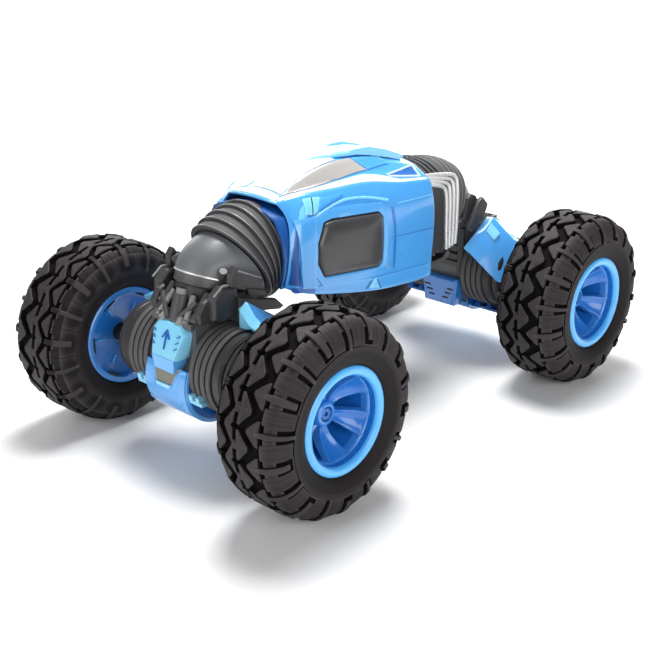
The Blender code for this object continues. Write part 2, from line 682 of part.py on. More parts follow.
def flat_to_x():
    """Turn a disc drawn about Z so that its own X and Y lie along the car's Y and Z."""
    return Matrix(((0, 0, 1, 0), (1, 0, 0, 0), (0, 1, 0, 0), (0, 0, 0, 1)))


def main():
    clear_scene()
    make_chassis()
    make_body_shell()
    make_cowl()
    make_twist_drive()
    for name, end in ENDS.items():
        make_elbow(name, end)
        make_module(name, end)


main()
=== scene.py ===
"""Looks of the double-sided stunt car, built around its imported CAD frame.

The car's front is +X and its left is +Y. Shapes are drawn in millimetres and MM turns them
into Blender's metres.
"""
import json
from math import cos, pi, radians, sin

import bmesh
import bpy
from mathutils import Matrix, Vector
from mathutils.bvhtree import BVHTree


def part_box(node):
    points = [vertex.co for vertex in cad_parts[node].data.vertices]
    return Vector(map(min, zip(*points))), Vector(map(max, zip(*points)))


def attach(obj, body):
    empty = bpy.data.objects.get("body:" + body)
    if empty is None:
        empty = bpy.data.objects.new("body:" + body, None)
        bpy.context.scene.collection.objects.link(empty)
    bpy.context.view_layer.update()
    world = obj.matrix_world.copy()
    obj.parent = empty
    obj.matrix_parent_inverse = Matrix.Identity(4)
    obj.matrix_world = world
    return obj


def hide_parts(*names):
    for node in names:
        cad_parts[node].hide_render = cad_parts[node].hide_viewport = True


MM = 0.001
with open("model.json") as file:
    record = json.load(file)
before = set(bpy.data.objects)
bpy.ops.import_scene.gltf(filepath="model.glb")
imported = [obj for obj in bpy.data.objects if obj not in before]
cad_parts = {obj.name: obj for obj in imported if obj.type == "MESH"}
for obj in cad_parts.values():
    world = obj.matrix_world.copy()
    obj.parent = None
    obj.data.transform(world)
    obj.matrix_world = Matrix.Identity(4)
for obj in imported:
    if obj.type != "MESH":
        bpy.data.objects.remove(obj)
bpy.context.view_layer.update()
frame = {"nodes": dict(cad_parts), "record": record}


def node_mm(node):
    """A CAD node's two corners, in millimetres."""
    low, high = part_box(node)
    return low / MM, high / MM


# Sizes read from the frame
tyre_low, tyre_high = node_mm("front_left_tyre")
TYRE_RADIUS = (tyre_high.x - tyre_low.x) / 2
AXLE_X = (tyre_high.x + tyre_low.x) / 2
TRACK_Y = (tyre_high.y + tyre_low.y) / 2
AXLE_Z = (tyre_high.z + tyre_low.z) / 2
bellows_low, bellows_high = node_mm("front_left_bellows")
BELLOWS_X = (bellows_high.x + bellows_low.x) / 2
BELLOWS_Z = (bellows_high.z + bellows_low.z) / 2
BELLOWS_RADIUS = (bellows_high.x - bellows_low.x) / 2

ELBOW_DROP = 75.5  # height of the point that the elbow's rings fan about
ELBOW_ARM = 28.5   # from that point to the middle of each ring
ENDS = {
    "front": {"sign": 1, "pivot": 72, "tilt": 32.0, "tube": 13, "ring": 26.4, "taper": 0.22,
              "body": "front_module"},
    "rear": {"sign": -1, "pivot": 62, "tilt": 27.6, "tube": 11, "ring": 24.9, "taper": 0.1,
             "body": "rear_module"},
}
SIDES = {"left": 1, "right": -1}


# ---------------------------------------------------------------- materials

def linear(red, green, blue):
    """An sRGB colour from 0 to 255, as linear values."""
    return tuple(((c / 255 + 0.055) / 1.055) ** 2.4 if c > 10 else c / 255 / 12.92
                 for c in (red, green, blue))


def add_node(nodes, kind, **values):
    """A node with its inputs set; an underscore in a name stands for a space."""
    node = nodes.new(kind)
    for key, value in values.items():
        node.inputs[key.replace("_", " ")].default_value = value
    return node


def mix_color(nodes, links, factor, first, second):
    """A colour mix node driven by the socket `factor`."""
    mix = nodes.new("ShaderNodeMix")
    mix.data_type = "RGBA"
    links.new(factor, mix.inputs["Factor"])
    for socket, value in ((mix.inputs[6], first), (mix.inputs[7], second)):
        if isinstance(value, tuple):
            socket.default_value = (*value, 1)
        else:
            links.new(value, socket)
    return mix.outputs[2]


def moulded(name, color, roughness, coat=0.0, grain=0.06, mottle=0.12, edge_highlight=0.0, edge_highlight_color=None,
            metallic=0.0, sheen=0.5, grain_size=900):
    """Moulded plastic, rubber or metal: mottled colour, uneven gloss, fine grain, and sharp edges lightened
    as a painted highlight.
    """
    material = bpy.data.materials.new(name)
    material.use_nodes = True
    nodes, links = material.node_tree.nodes, material.node_tree.links
    shader = nodes["Principled BSDF"]
    for key, value in (("Metallic", metallic), ("Coat Weight", coat), ("Coat Roughness", 0.08),
                       ("Specular IOR Level", sheen)):
        shader.inputs[key].default_value = value
    broad = add_node(nodes, "ShaderNodeTexNoise", Scale=38, Detail=4)
    fine = add_node(nodes, "ShaderNodeTexNoise", Scale=grain_size, Detail=3)
    place = nodes.new("ShaderNodeTexCoord").outputs["Object"]
    for noise in (broad, fine):
        links.new(place, noise.inputs["Vector"])

    base = linear(*color)
    darker = tuple(c * (1 - mottle) for c in base)
    lighter = tuple(min(1, c * (1 + mottle) + 0.002) for c in base)
    tone = mix_color(nodes, links, broad.outputs["Fac"], darker, lighter)
    # Painted highlight: sharp edges, found by pointiness, are mixed towards a paler colour.
    if edge_highlight > 0:
        ramp = add_node(nodes, "ShaderNodeMapRange", From_Min=0.52, From_Max=0.62, To_Max=edge_highlight)
        links.new(nodes.new("ShaderNodeNewGeometry").outputs["Pointiness"], ramp.inputs["Value"])
        tone = mix_color(nodes, links, ramp.outputs["Result"], tone, linear(*edge_highlight_color))
    links.new(tone, shader.inputs["Base Color"])

    gloss = add_node(nodes, "ShaderNodeMapRange", To_Min=max(0.03, roughness - 0.06),
                     To_Max=roughness + 0.08)
    links.new(broad.outputs["Fac"], gloss.inputs["Value"])
    links.new(gloss.outputs["Result"], shader.inputs["Roughness"])
    bump = add_node(nodes, "ShaderNodeBump", Strength=grain, Distance=0.0004)
    links.new(fine.outputs["Fac"], bump.inputs["Height"])
    links.new(bump.outputs["Normal"], shader.inputs["Normal"])
    return material


# Each finish's record slot, sRGB colour and roughness, then as many as it needs of
# coat, grain, mottle, painted edge highlight, its colour, metallic, sheen and grain size
FINISHES = {
    "body_blue": ("body_blue", (76, 164, 238), 0.24, 0.7, 0.02, 0.05, 0.35, (150, 220, 255)),
    "panel_blue": ("body_blue", (120, 204, 250), 0.26, 0.6, 0.02, 0.05, 0.4, (175, 235, 255)),
    "recess_blue": ("body_blue", (20, 98, 180), 0.32, 0.3, 0.03),
    # Painted shade: a dark blue for recesses and notches in shadow
    "navy": ("body_blue", (14, 78, 150), 0.35, 0.2, 0.03),
    "badge_cyan": ("body_blue", (120, 208, 245), 0.3, 0.5, 0.03, 0.05, 0.4, (210, 245, 255)),
    # Painted highlight: a near-white blue for top faces and edges that the light blows out
    "pearl_blue": ("body_blue", (204, 230, 246), 0.22, 0.6, 0.01, 0.03),
    "rim_blue": ("rim_blue", (26, 114, 200), 0.26, 0.6, 0.02, 0.06, 0.3, (140, 210, 255)),
    "lip_blue": ("rim_blue", (84, 180, 250), 0.3, 0.4, 0.02, 0.04),
    "dark_plastic": ("frame_plastic", (42, 42, 44), 0.4, 0.0, 0.12, 0.12, 0.5, (120, 120, 122)),
    "black_plastic": ("frame_plastic", (30, 28, 29), 0.4, 0.0, 0.1, 0.12, 0.4, (90, 88, 88)),
    "grey_trim": ("frame_plastic", (128, 128, 128), 0.35, 0.2, 0.08),
    "inset_grey": ("frame_plastic", (126, 126, 112), 0.45),
    # Painted shade: a near-black for gaps, slots and notches
    "gap_black": ("frame_plastic", (14, 14, 16), 0.6, 0.0, 0.05),
    "silver": ("frame_plastic", (222, 222, 222), 0.26, 0.4, 0.04, 0.06, 0.0, None, 0.35),
    "dome_plastic": ("neck_plastic", (98, 101, 104), 0.42, 0.1, 0.04, 0.12, 0.3, (190, 192, 190)),
    "rib_rubber": ("bellows_rubber", (58, 57, 58), 0.6, 0.0, 0.1, 0.12, 0.8, (150, 148, 146)),
    "elbow_rubber": ("bellows_rubber", (70, 70, 72), 0.72, 0.0, 0.12, 0.1, 0.4, (120, 120, 120)),
    "tyre_rubber": ("tyre_rubber", (22, 17, 19), 0.62, 0.0, 0.2, 0.16, 0.36, (116, 110, 112), 0.0, 0.2,
                    600),
    # Painted shade: a darker, rougher rubber for groove floors and lug sides
    "groove_shade_rubber": ("tyre_rubber", (15, 12, 13), 0.85, 0.0, 0.15, 0.1, 0.0, None, 0.0, 0.08),
    "window_black": ("window_black", (58, 58, 60), 0.35, 0.2, 0.05, 0.12, 0.4, (120, 120, 120)),
    # The windscreen's own pale grey, brightened towards white as a painted reflection
    "windscreen": ("windscreen", (226, 226, 224), 0.2, 0.5, 0.01, 0.04),
    "side_glass": ("windscreen", (176, 172, 168), 0.25, 0.4, 0.02, 0.05),
    "steel": ("shaft_steel", (168, 168, 170), 0.3, 0.0, 0.1, 0.12, 0.0, None, 1.0),
    "brass": ("pinion_brass", (200, 164, 96), 0.3, 0.0, 0.08, 0.12, 0.0, None, 1.0),
    "nylon": ("gear_nylon", (226, 224, 216), 0.45, 0.0, 0.05),
    "wrap": ("battery_wrap", (216, 214, 206), 0.35, 0.3, 0.04),
    "board_green": ("board", (26, 104, 52), 0.45),
}
MATERIALS = {name: moulded(name, *row[1:]) for name, row in FINISHES.items()}
# The finish of each record slot whose name isn't a finish's own
SLOT_FINISHES = {
    "neck_plastic": "dome_plastic", "frame_plastic": "dark_plastic", "bellows_rubber": "rib_rubber",
    "motor_can": "steel", "shaft_steel": "steel", "pinion_brass": "brass", "gear_nylon": "nylon",
    "battery_wrap": "wrap", "board": "board_green",
}


def soften(piece, width, angle):
    """Round a piece's sharp edges."""
    bevel = piece.modifiers.new("bevel", "BEVEL")
    bevel.width = width * MM
    bevel.segments = 2
    bevel.limit_method = "ANGLE"
    bevel.angle_limit = radians(angle)


def paint_cad_nodes():
    """Give every CAD node the finish of its record slot, and soften its edges."""
    slots = {part["node"]: part["material_slot"] for part in frame["record"]["subparts"]}
    for name, node in frame["nodes"].items():
        node.data.materials.clear()
        node.data.materials.append(MATERIALS[SLOT_FINISHES.get(slots[name], slots[name])])
        soften(node, 0.3, 40)


# ---------------------------------------------------------------- mesh helpers

def to_mesh(name, bm):
    """A mesh in metres from a millimetre bmesh, which is freed."""
    bmesh.ops.scale(bm, vec=(MM, MM, MM), verts=bm.verts)
    bmesh.ops.recalc_face_normals(bm, faces=bm.faces)
    mesh = bpy.data.meshes.new(name)
    bm.to_mesh(mesh)
    bm.free()
    return mesh


def make(name, shape, material, body="chassis", angle=50, replaces=(), place=None, bevel=0.0, extra=()):
    """Turn a millimetre bmesh or a ready mesh into a finished piece that rides on a body."""
    mesh = shape if isinstance(shape, bpy.types.Mesh) else to_mesh(name, shape)
    mesh.shade_smooth()
    mesh.set_sharp_from_angle(angle=radians(angle))
    for finish in (material, *extra):
        mesh.materials.append(MATERIALS[finish])
    piece = bpy.data.objects.new(name, mesh)
    bpy.context.scene.collection.objects.link(piece)
    if place is not None:
        piece.matrix_world = place
    if bevel > 0:
        soften(piece, bevel, angle)
    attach(piece, body)
    if replaces:
        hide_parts(*replaces)
    return piece


def make_module_pieces(name, end, angle, *pieces):
    """Pieces drawn in the front module's place: (label, shape, finish, bevel, replaced label)."""
    for label, shape, material, bevel, *replaced in pieces:
        make(f"{name}_{label}", shape, material, end["body"], angle,
             [f"{name}_{other}" for other in replaced], module_place(end), bevel)


def skin(rings, closed=False, bm=None):
    """Quads through rings of points: a closed loop of rings, or one capped at both ends."""
    bm = bm or bmesh.new()
    rows = [[bm.verts.new(point) for point in ring] for ring in rings]
    pairs = list(zip(rows, rows[1:]))
    if closed:
        pairs.append((rows[-1], rows[0]))
    for first, second in pairs:
        for k in range(len(first)):
            after = (k + 1) % len(first)
            bm.faces.new((first[k], first[after], second[after], second[k]))
    if not closed:
        bm.faces.new(rows[0])
        bm.faces.new(list(reversed(rows[-1])))
    return bm


def ring_points(radius, count):
    """Points of a circle about the origin."""
    return [(radius * cos(a), radius * sin(a)) for a in (2 * pi * k / count for k in range(count))]


def circle(centre, tilt, radius, segments=72):
    """A ring across a path that leans `tilt` degrees down from +X, centred in the XZ plane."""
    lean = radians(tilt)
    return [(centre[0] + along * sin(lean), across, centre[1] + along * cos(lean))
            for along, across in ring_points(radius, segments)]


def turned(profile, segments=72, bm=None):
    """A closed (radius, height) profile turned about Z."""
    return skin([[(x, y, z) for x, y in ring_points(r, segments)] for r, z in profile], True, bm)


def box(bm, low, high, place=None):
    """Add a box between two corners, then move it by `place`."""
    size = [b - a for a, b in zip(low, high)]
    middle = Matrix.Translation([(a + b) / 2 for a, b in zip(low, high)])
    matrix = (place or Matrix()) @ middle @ Matrix.Diagonal((*size, 1))
    bmesh.ops.create_cube(bm, size=1, matrix=matrix)


def rod(bm, start, end, radius, segments=20, tip=None):
    """Add a round rod between two points; `tip` is its far radius."""
    axis = Vector(end) - Vector(start)
    turn = axis.to_track_quat("Z", "Y").to_matrix().to_4x4()
    middle = Matrix.Translation((Vector(start) + Vector(end)) / 2)
    bmesh.ops.create_cone(bm, cap_ends=True, segments=segments, radius1=radius,
                          radius2=radius if tip is None else tip, depth=axis.length,
                          matrix=middle @ turn)


def prism(bm, outline, y_low, y_high, inset=0.0):
    """Add an XZ outline extruded along Y; both flat ends can draw in by `inset`."""
    middle = sum((Vector(point) for point in outline), Vector((0, 0))) / len(outline)

    def ring(y, shrink):
        points = []
        for point in outline:
            step = Vector(point) - middle
            moved = middle + step * (1 - shrink / max(step.length, 0.1))
            points.append((moved.x, y, moved.y))
        return points

    edge = inset if y_high > y_low else -inset
    rings = [ring(y_low, abs(inset)), ring(y_low + edge, 0), ring(y_high - edge, 0),
             ring(y_high, abs(inset))] if inset else [ring(y_low, 0), ring(y_high, 0)]
    return skin(rings, bm=bm)


def tube(bm, path, radius, sides=12):
    """Add a round tube along a path, with flat ends."""
    points = [Vector(point) for point in path]
    rings = []
    for k, point in enumerate(points):
        ahead = (points[min(k + 1, len(points) - 1)] - points[max(k - 1, 0)]).normalized()
        across = ahead.cross(Vector((0, 1, 0.01))).normalized()
        up = across.cross(ahead).normalized()
        stretch = 1.0
        if 0 < k < len(points) - 1:
            bend = (points[k + 1] - point).normalized().dot((point - points[k - 1]).normalized())
            stretch = 1 / max(0.6, ((1 + bend) / 2) ** 0.5)
        rings.append([point + (across * cos(a) * stretch + up * sin(a)) * radius
                      for a in (2 * pi * j / sides for j in range(sides))])
    return skin(rings, bm=bm)


def smooth_path(points, steps=6):
    """A Catmull-Rom curve through tuples of numbers."""
    result = []
    for k in range(len(points) - 1):
        p0, p1 = points[max(k - 1, 0)], points[k]
        p2, p3 = points[k + 1], points[min(k + 2, len(points) - 1)]
        for step in range(steps):
            t = step / steps
            result.append(tuple(
                0.5 * (2 * b + (c - a) * t + (2 * a - 5 * b + 4 * c - d) * t * t
                       + (3 * b - a - 3 * c + d) * t ** 3)
                for a, b, c, d in zip(p0, p1, p2, p3)))
    result.append(tuple(points[-1]))
    return result


def rounded(outline, radius, steps=5):
    """Round the corners of a convex outline with arcs."""
    result = []
    for k, corner in enumerate(outline):
        here = Vector(corner)
        back = (Vector(outline[k - 1]) - here).normalized()
        ahead = (Vector(outline[(k + 1) % len(outline)]) - here).normalized()
        half = back.angle(ahead) / 2
        reach = radius * cos(half) / sin(half)
        centre = here + (back + ahead).normalized() * radius / sin(half)
        start, end = here + back * reach - centre, here + ahead * reach - centre
        for step in range(steps + 1):
            result.append(tuple(centre + start.lerp(end, step / steps).normalized() * radius))
    return result


def both_sides(half):
    """A (y, z) outline's left half, carried on over the right side."""
    return half + [(-y, z) for y, z in reversed(half) if y]


def mirrored(points, side):
    """Points drawn on the left, moved to the wanted side."""
    return [(x, side * y, z) for x, y, z in points]


def module_place(end):
    """The front module is drawn in place; the rear one is that, turned half round."""
    return Matrix.Rotation(0 if end["sign"] > 0 else pi, 4, "Z")


# ---------------------------------------------------------------- tyres

LUG_COUNT = 18
LUG_HEIGHT = 3.0
CROWN = TYRE_RADIUS - LUG_HEIGHT
PITCH = 2 * pi * TYRE_RADIUS / LUG_COUNT
TREAD_SHIFT = -2.4
INNER_SCALE = 0.76
CARCASS = [(CROWN, 0), (CROWN, 4), (CROWN, 8), (46.4, 12.2), (45.6, 14.4), (44.4, 16.4), (43.0, 17.8),
           (41.6, 18.7), (40.0, 19.2), (38.0, 19.5), (36.7, 19.6), (36.5, 21.5), (34.2, 21.5),
           (32.6, 21.2), (30, 20.2), (28, 19.4), (27.2, 18.6), (26.4, 17.6)]
LUG_BASE = CARCASS[:11] + [(34.2, 19.6)]
TYRE_BORE = [(24.95, -16.8), (24.95, 16.8)]
GROOVE_SHADE_RADIUS = 36.4  # the carcass between the lugs outside this takes the groove finish: duller, and darker as painted shade; inside it is shinier
BLOCK_CHAMFER = 0.45
RIBBON_CHAMFER = 0.4


def block_height(across):
    """How far the blocks stand off the carcass: tall on the tread, lower on the sidewall."""
    share = min(max((abs(across) - 14) / 7, 0), 1)
    return LUG_HEIGHT + (1.95 - LUG_HEIGHT) * share


def carcass_point(angle, across, lift):
    """A point on the tyre: `across` runs over the surface from the crown, `lift` stands off it."""
    side = 1 if across >= 0 else -1
    left = abs(across)
    for k in range(len(LUG_BASE) - 1):
        (r0, z0), (r1, z1) = LUG_BASE[k], LUG_BASE[k + 1]
        length = ((r1 - r0) ** 2 + (z1 - z0) ** 2) ** 0.5
        if left <= length:
            share = left / length
            before = Vector(LUG_BASE[max(k - 1, 0)])
            after = Vector(LUG_BASE[min(k + 2, len(LUG_BASE) - 1)])
            near = (Vector((r1, z1)) - before).normalized()
            far = (after - Vector((r0, z0))).normalized()
            run = near.lerp(far, share).normalized()
            radius = r0 + (r1 - r0) * share + lift * run.y
            height = z0 + (z1 - z0) * share - lift * run.x
            return Vector((radius * cos(angle), radius * sin(angle), side * height))
        left -= length
    raise ValueError("off the carcass")


def tread_block(bm, outline, drop=0.0):
    """A raised block over an outline of (along, across) points, with chamfered top edges."""
    points = []
    for k, corner in enumerate(outline):
        here, after = Vector(corner), Vector(outline[(k + 1) % len(outline)])
        count = max(1, round((after - here).length / 3.0))
        points += [here.lerp(after, j / count) for j in range(count)]
    middle = sum(points, Vector((0, 0))) / len(points)
    rings = []
    for grow, level in ((0.3, None), (0.0, BLOCK_CHAMFER + drop), (-BLOCK_CHAMFER, drop)):
        ring = []
        for point in points:
            step = point - middle
            spot = middle + step * (1 + grow / max(step.length, 1.0))
            lift = -0.5 if level is None else block_height(spot.y) - level
            ring.append(bm.verts.new(carcass_point(spot.x / TYRE_RADIUS, spot.y, lift)))
        rings.append(ring)
    count = len(points)
    for lower, upper in zip(rings, rings[1:]):
        for k in range(count):
            after = (k + 1) % count
            wall = bm.faces.new((lower[k], lower[after], upper[after], upper[k]))
            # Painted shade: the block's side walls take the darker groove finish
            wall.material_index = int(lower is rings[0])
    for ring, lift in ((rings[0], -0.5), (rings[-1], block_height(middle.y) - drop)):
        hub = bm.verts.new(carcass_point(middle.x / TYRE_RADIUS, middle.y, lift))
        for k in range(count):
            bm.faces.new((ring[k], ring[(k + 1) % count], hub))


def ribbon(bm, stations, drop):
    """A raised band that follows the carcass through (across, low, high) stations."""
    count = max(1, round(max(high - low for _, low, high in stations) / 3))
    rows = []
    for across, low, high in stations:
        top = block_height(across) - drop
        flat = high - low - 2 * RIBBON_CHAMFER
        lanes = [(low - 0.3, -0.5), (low, top - RIBBON_CHAMFER)]
        lanes += [(low + RIBBON_CHAMFER + flat * k / count, top) for k in range(count + 1)]
        lanes += [(high, top - RIBBON_CHAMFER), (high + 0.3, -0.5)]
        rows.append([bm.verts.new(carcass_point(run / TYRE_RADIUS, across, lift)) for run, lift in lanes])
    last = len(rows[0]) - 1
    for first, second in zip(rows, rows[1:]):
        for k in range(last + 1):
            after = (k + 1) % (last + 1)
            face = bm.faces.new((first[k], first[after], second[after], second[k]))
            # Painted shade: the band's side walls and ends take the darker groove finish
            face.material_index = int(k in (0, last - 1, last))
    for end_row in (rows[0], rows[-1]):
        bm.faces.new(end_row).material_index = 1


def tread_row(bm, start, side):
    """One repeat of the tread on one side of the centre line."""
    scale = 1.0 if side > 0 else INNER_SCALE

    def at(*points):
        return [(start + along, TREAD_SHIFT + side * scale * across) for along, across in points]

    if side > 0:
        tread_block(bm, at((-7.5, 1.0), (-7.7, 2.0), (-1.1, 8.0), (1.1, 8.0), (7.7, 2.0), (7.5, 1.0),
                           (2.5, 1.0), (2.3, -1.9), (-2.3, -1.9), (-2.5, 1.0)))
    else:
        tread_block(bm, at((-7.9, 2.4), (-1.1, 8.6), (1.1, 8.6), (7.9, 2.4), (7.7, 1.7), (1.5, 1.7),
                           (0, 3.4), (-1.5, 1.7), (-7.7, 1.7)))
    start += PITCH / 2
    tread_block(bm, at((-6.4, 13.6), (-5.9, 12.2), (-0.7, 6.9), (0.7, 6.9), (5.9, 12.2), (6.4, 13.6)), -0.2)


def sidewall_row(bm, start, side, hoop):
    """One repeat of the shoulder and sidewall: bands that leave a hoop or two bars as slots."""
    half = PITCH / 2
    near = 10.8 if side > 0 else 12.7
    gap = 3.9 if hoop else 3.5
    core = 1.9 if hoop else 1.3

    def strip(stations, drop):
        ribbon(bm, [(side * across, start + low, start + high) for across, low, high in stations], drop)

    def mixed(across, wide, tight):
        share = min(max((across - near) / (16.6 - near), 0), 1)
        return wide + (tight - wide) * share

    levels = [near + 1.0, 13.6, 14.8, 16.0, 17.2, 18.4, 20.4, 22.4, 24.4, 26.2]
    for low_side in (1, 0):
        stations = []
        for across in levels:
            edge = mixed(across, 5.1, gap)
            stations.append((across, -half - 0.2, -edge) if low_side else (across, edge, half + 0.2))
        strip(stations, 0.6 + 0.05 * low_side)
    stop = 23.0 if hoop else 26.2
    core_levels = [near - 1.2] + [across for across in levels if across < stop] + [stop]
    strip([(across, -mixed(across, 1.3, core), mixed(across, 1.3, core)) for across in core_levels], -0.3)
    strip([(across, -4.6, 4.6) for across in (near + 2.2, 14.4, 15.6, 16.8, 18.0)], 0.95)
    if hoop:
        strip([(across, -4.4, 4.4) for across in (25.0, 26.2)], 0.55)
    if side < 0:
        strip([(across, -half, half) for across in (18.0, 19.2, 20.4, 21.6, 23.0, 24.4, 26.2)], 0.2)


def tyre_mesh():
    """Carcass, zigzag-grooved tread and slotted sidewalls."""
    bm = bmesh.new()
    profile = CARCASS[::-1] + [(r, -z) for r, z in CARCASS[1:]] + TYRE_BORE
    turned(profile, 144, bm)
    # Painted shade: the carcass between the lugs, outside that radius, takes the darker groove finish
    for face in bm.faces:
        middle = face.calc_center_median()
        if (middle.x ** 2 + middle.y ** 2) ** 0.5 > GROOVE_SHADE_RADIUS:
            face.material_index = 1
    for k in range(LUG_COUNT):
        for side in (1, -1):
            tread_row(bm, k * PITCH + (0 if side > 0 else PITCH / 2), side)
            sidewall_row(bm, (k + 0.5) * PITCH, side, k % 2 == 0)
    return to_mesh("tyre", bm)


# ---------------------------------------------------------------- rims

def rim_shell():
    """Lip, deep bowl, drum and back plate."""
    return turned([(24.6, 17.0), (25.9, 17.2), (26.7, 17.9), (26.7, 18.6), (26.0, 19.3), (24.8, 19.5),
                   (23.2, 19.2), (22.4, 18.5), (22.0, 17.2), (21.7, 12), (21.4, 6), (21.2, 0),
                   (20.8, -8), (20.0, -10.2), (17.5, -10.8), (7.2, -10.8), (6.2, -11.4), (6.2, -12.4),
                   (7.2, -13.0), (20.5, -13.6), (22.6, -14.8), (23.0, -18.0), (23.8, -18.9),
                   (25.9, -19.2), (26.7, -18.6), (26.7, -17.9), (25.9, -17.2), (24.6, -17.0)], 96)


def rim_web():
    """Hub boss and six flared spokes."""
    bm = turned([(3.6, 5.0), (3.9, 6.9), (5.2, 6.9), (5.9, 6.2), (6.3, 4.4), (7.4, 2.6), (8.0, -2),
                 (8.6, -10.9), (3.6, -10.9)], 48)
    stations = [(5.4, 2.3, 4.9), (7.5, 2.5, 4.3), (10.5, 3.0, 4.6), (13.5, 3.7, 6.0), (16.5, 4.7, 8.2),
                (18.8, 5.4, 10.6), (20.6, 6.2, 13.0), (21.9, 7.0, 14.6)]
    half = [(-1.0, -5.5), (-1.0, -0.8), (-0.94, -0.1), (-0.84, 0.0), (-0.66, -0.5), (-0.3, -1.0)]
    across = half + [(0, -1.1)] + [(-share, drop) for share, drop in reversed(half)]
    for spoke in range(6):
        turn = Matrix.Rotation(radians(60 * spoke + 34), 3, "Z")
        rings = []
        for reach, width, height in smooth_path(stations, 3):
            swings = [(share * width / reach, drop) for share, drop in across]
            rings.append([turn @ Vector((reach * cos(swing), reach * sin(swing), height + drop))
                          for swing, drop in swings])
        skin(rings, bm=bm)
    return turned([(20.9, 12.4), (21.5, 13.9), (22.2, 14.2), (22.2, 9.0), (21.2, 9.0)], 96, bm)


def wheel_nut():
    """A hexagon nut with a hexagon socket."""
    sections = [(3.4, 4.6), (3.4, 6.0), (3.4 * 0.88, 6.4), (1.3, 6.4), (1.3, 5.0)]
    return skin([[(x, y, z) for x, y in ring_points(radius, 6)] for radius, z in sections])


def rim_back(low, high):
    """Six equal boxes round the wheel's inner face."""
    bm = bmesh.new()
    for k in range(6):
        box(bm, low, high, Matrix.Rotation(radians(60 * k), 4, "Z"))
    return bm


def colour_rim(shell):
    """A paler lip on the rim, and its bowl floor darker as painted shade."""
    for face in shell.data.polygons:
        reach = (face.center.x ** 2 + face.center.y ** 2) ** 0.5
        if face.center.z > 17.3 * MM and reach > 22.1 * MM:
            face.material_index = 1
        # Painted shade: the bowl floor seen between the spokes takes the darker recess blue
        elif reach < 20.9 * MM and 0 > face.center.z > -11.2 * MM:
            face.material_index = 2


def make_wheels():
    """Dress the four wheels, each in its wheel's own frame."""
    tyre = tyre_mesh()
    for end_name, end in ENDS.items():
        for side_name, side in SIDES.items():
            name = f"{end_name}_{side_name}"
            body = f"{name}_wheel"
            spot = Vector((end["sign"] * AXLE_X, side * TRACK_Y, AXLE_Z)) * MM
            place = Matrix.Translation(spot) @ Matrix.Rotation(-side * pi / 2, 4, "X")
            make(f"{name}_tread", tyre.copy(), "tyre_rubber", body, 34, (f"{name}_tyre",), place,
                 extra=("groove_shade_rubber",))
            colour_rim(make(f"{name}_rim_shell", rim_shell(), "rim_blue", body, 40, (f"{name}_rim",),
                            place, extra=("lip_blue", "recess_blue")))
            make(f"{name}_spokes", rim_web(), "rim_blue", body, 50, (), place)
            make(f"{name}_hex_nut", wheel_nut(), "recess_blue", body, 30, (f"{name}_wheel_nut",), place)
            ribs = rim_back((12.8, -0.4, -14.3), (17.4, 0.4, -13.0))
            make(f"{name}_back_ribs", ribs, "lip_blue", body, 40, (), place, 0.15)
            # Painted shade: dark marks for the slots round the back of the rim
            slots = rim_back((22.2, -4.2, -18.6), (23.5, 4.2, -16.0))
            make(f"{name}_back_slots", slots, "gap_black", body, 40, (), place)


# ---------------------------------------------------------------- elbows, necks and bellows

def fan(end, lean, radius):
    """One ring of an elbow, swung by `lean` degrees about the pivot under it."""
    spot = (end["pivot"] + ELBOW_ARM * sin(radians(lean)), ELBOW_DROP + ELBOW_ARM * cos(radians(lean)))
    return circle(spot, lean, radius, 96)


def along(end, distance):
    """A point on the twist axis, `distance` outwards of the elbow's face."""
    lean = radians(end["tilt"])
    return (end["pivot"] + ELBOW_ARM * sin(lean) + distance * cos(lean),
            ELBOW_DROP + ELBOW_ARM * cos(lean) - distance * sin(lean))


def make_elbow(name, end):
    """Five lipped rubber rings on a fan, closed by a flat end wall, with pale lines painted along the ring
    edges as highlights.
    """
    hub = ELBOW_DROP + ELBOW_ARM
    start = end["pivot"] - end["tube"]
    rings = [circle((start, hub), 0, 22.4, 96), circle((end["pivot"] - 0.8, hub), 0, 22.4, 96)]
    step = end["tilt"] / 5
    for k in range(5):
        low = k * step
        lip = end["ring"] - end["taper"] * k
        for share, drop in ((0.02, 2.6), (0.04, 1.5), (0.3, 1.15), (0.7, 0.45), (0.86, 0.1), (0.92, 0.0),
                            (0.97, 0.15), (1.0, 0.9)):
            rings.append(fan(end, low + share * step, lip - drop))
    for distance, radius in ((0, 22.9), (-0.9, 22.6), (-0.9, 14.4), (-3, 14.4), (-3, 20.6)):
        rings.append(circle(along(end, distance), end["tilt"], radius, 96))
    rings += [fan(end, 8, 20.6), circle((end["pivot"], hub), 0, 20.6, 96),
              circle((start, hub), 0, 20.6, 96)]
    make(f"{name}_elbow_rings", skin(rings, closed=True), "elbow_rubber", "chassis", 24,
         (f"{name}_elbow",), module_place(end))
    # Painted highlight: thin pale rings laid along each ring's rear edge
    ring_edge_highlights = bmesh.new()
    for k in range(5):
        lip = end["ring"] - end["taper"] * k
        skin([fan(end, (k + share) * step, lip + lift)
              for share, lift in ((0.9, -0.1), (0.92, 0.12), (0.97, 0.12), (0.99, -0.3))], True, ring_edge_highlights)
    make(f"{name}_elbow_edge_highlights", ring_edge_highlights, "grey_trim", "chassis", 40, (), module_place(end))


DOMES = {
    "front": [(32, 87.45, 99.45, 21.6), (40, 90.8, 100.2, 20.6), (50, 95.4, 100.4, 19.2),
              (60, 99.6, 99.6, 17.8), (70, 103.4, 97.4, 16.2)],
    "rear": [(27.6, 75.55, 100.6, 21.4), (42, 79.8, 98.8, 20.4), (56, 84.0, 96.0, 19.0),
             (70, 88.0, 92.4, 17.4), (80, 90.8, 88.8, 16.0)],
}


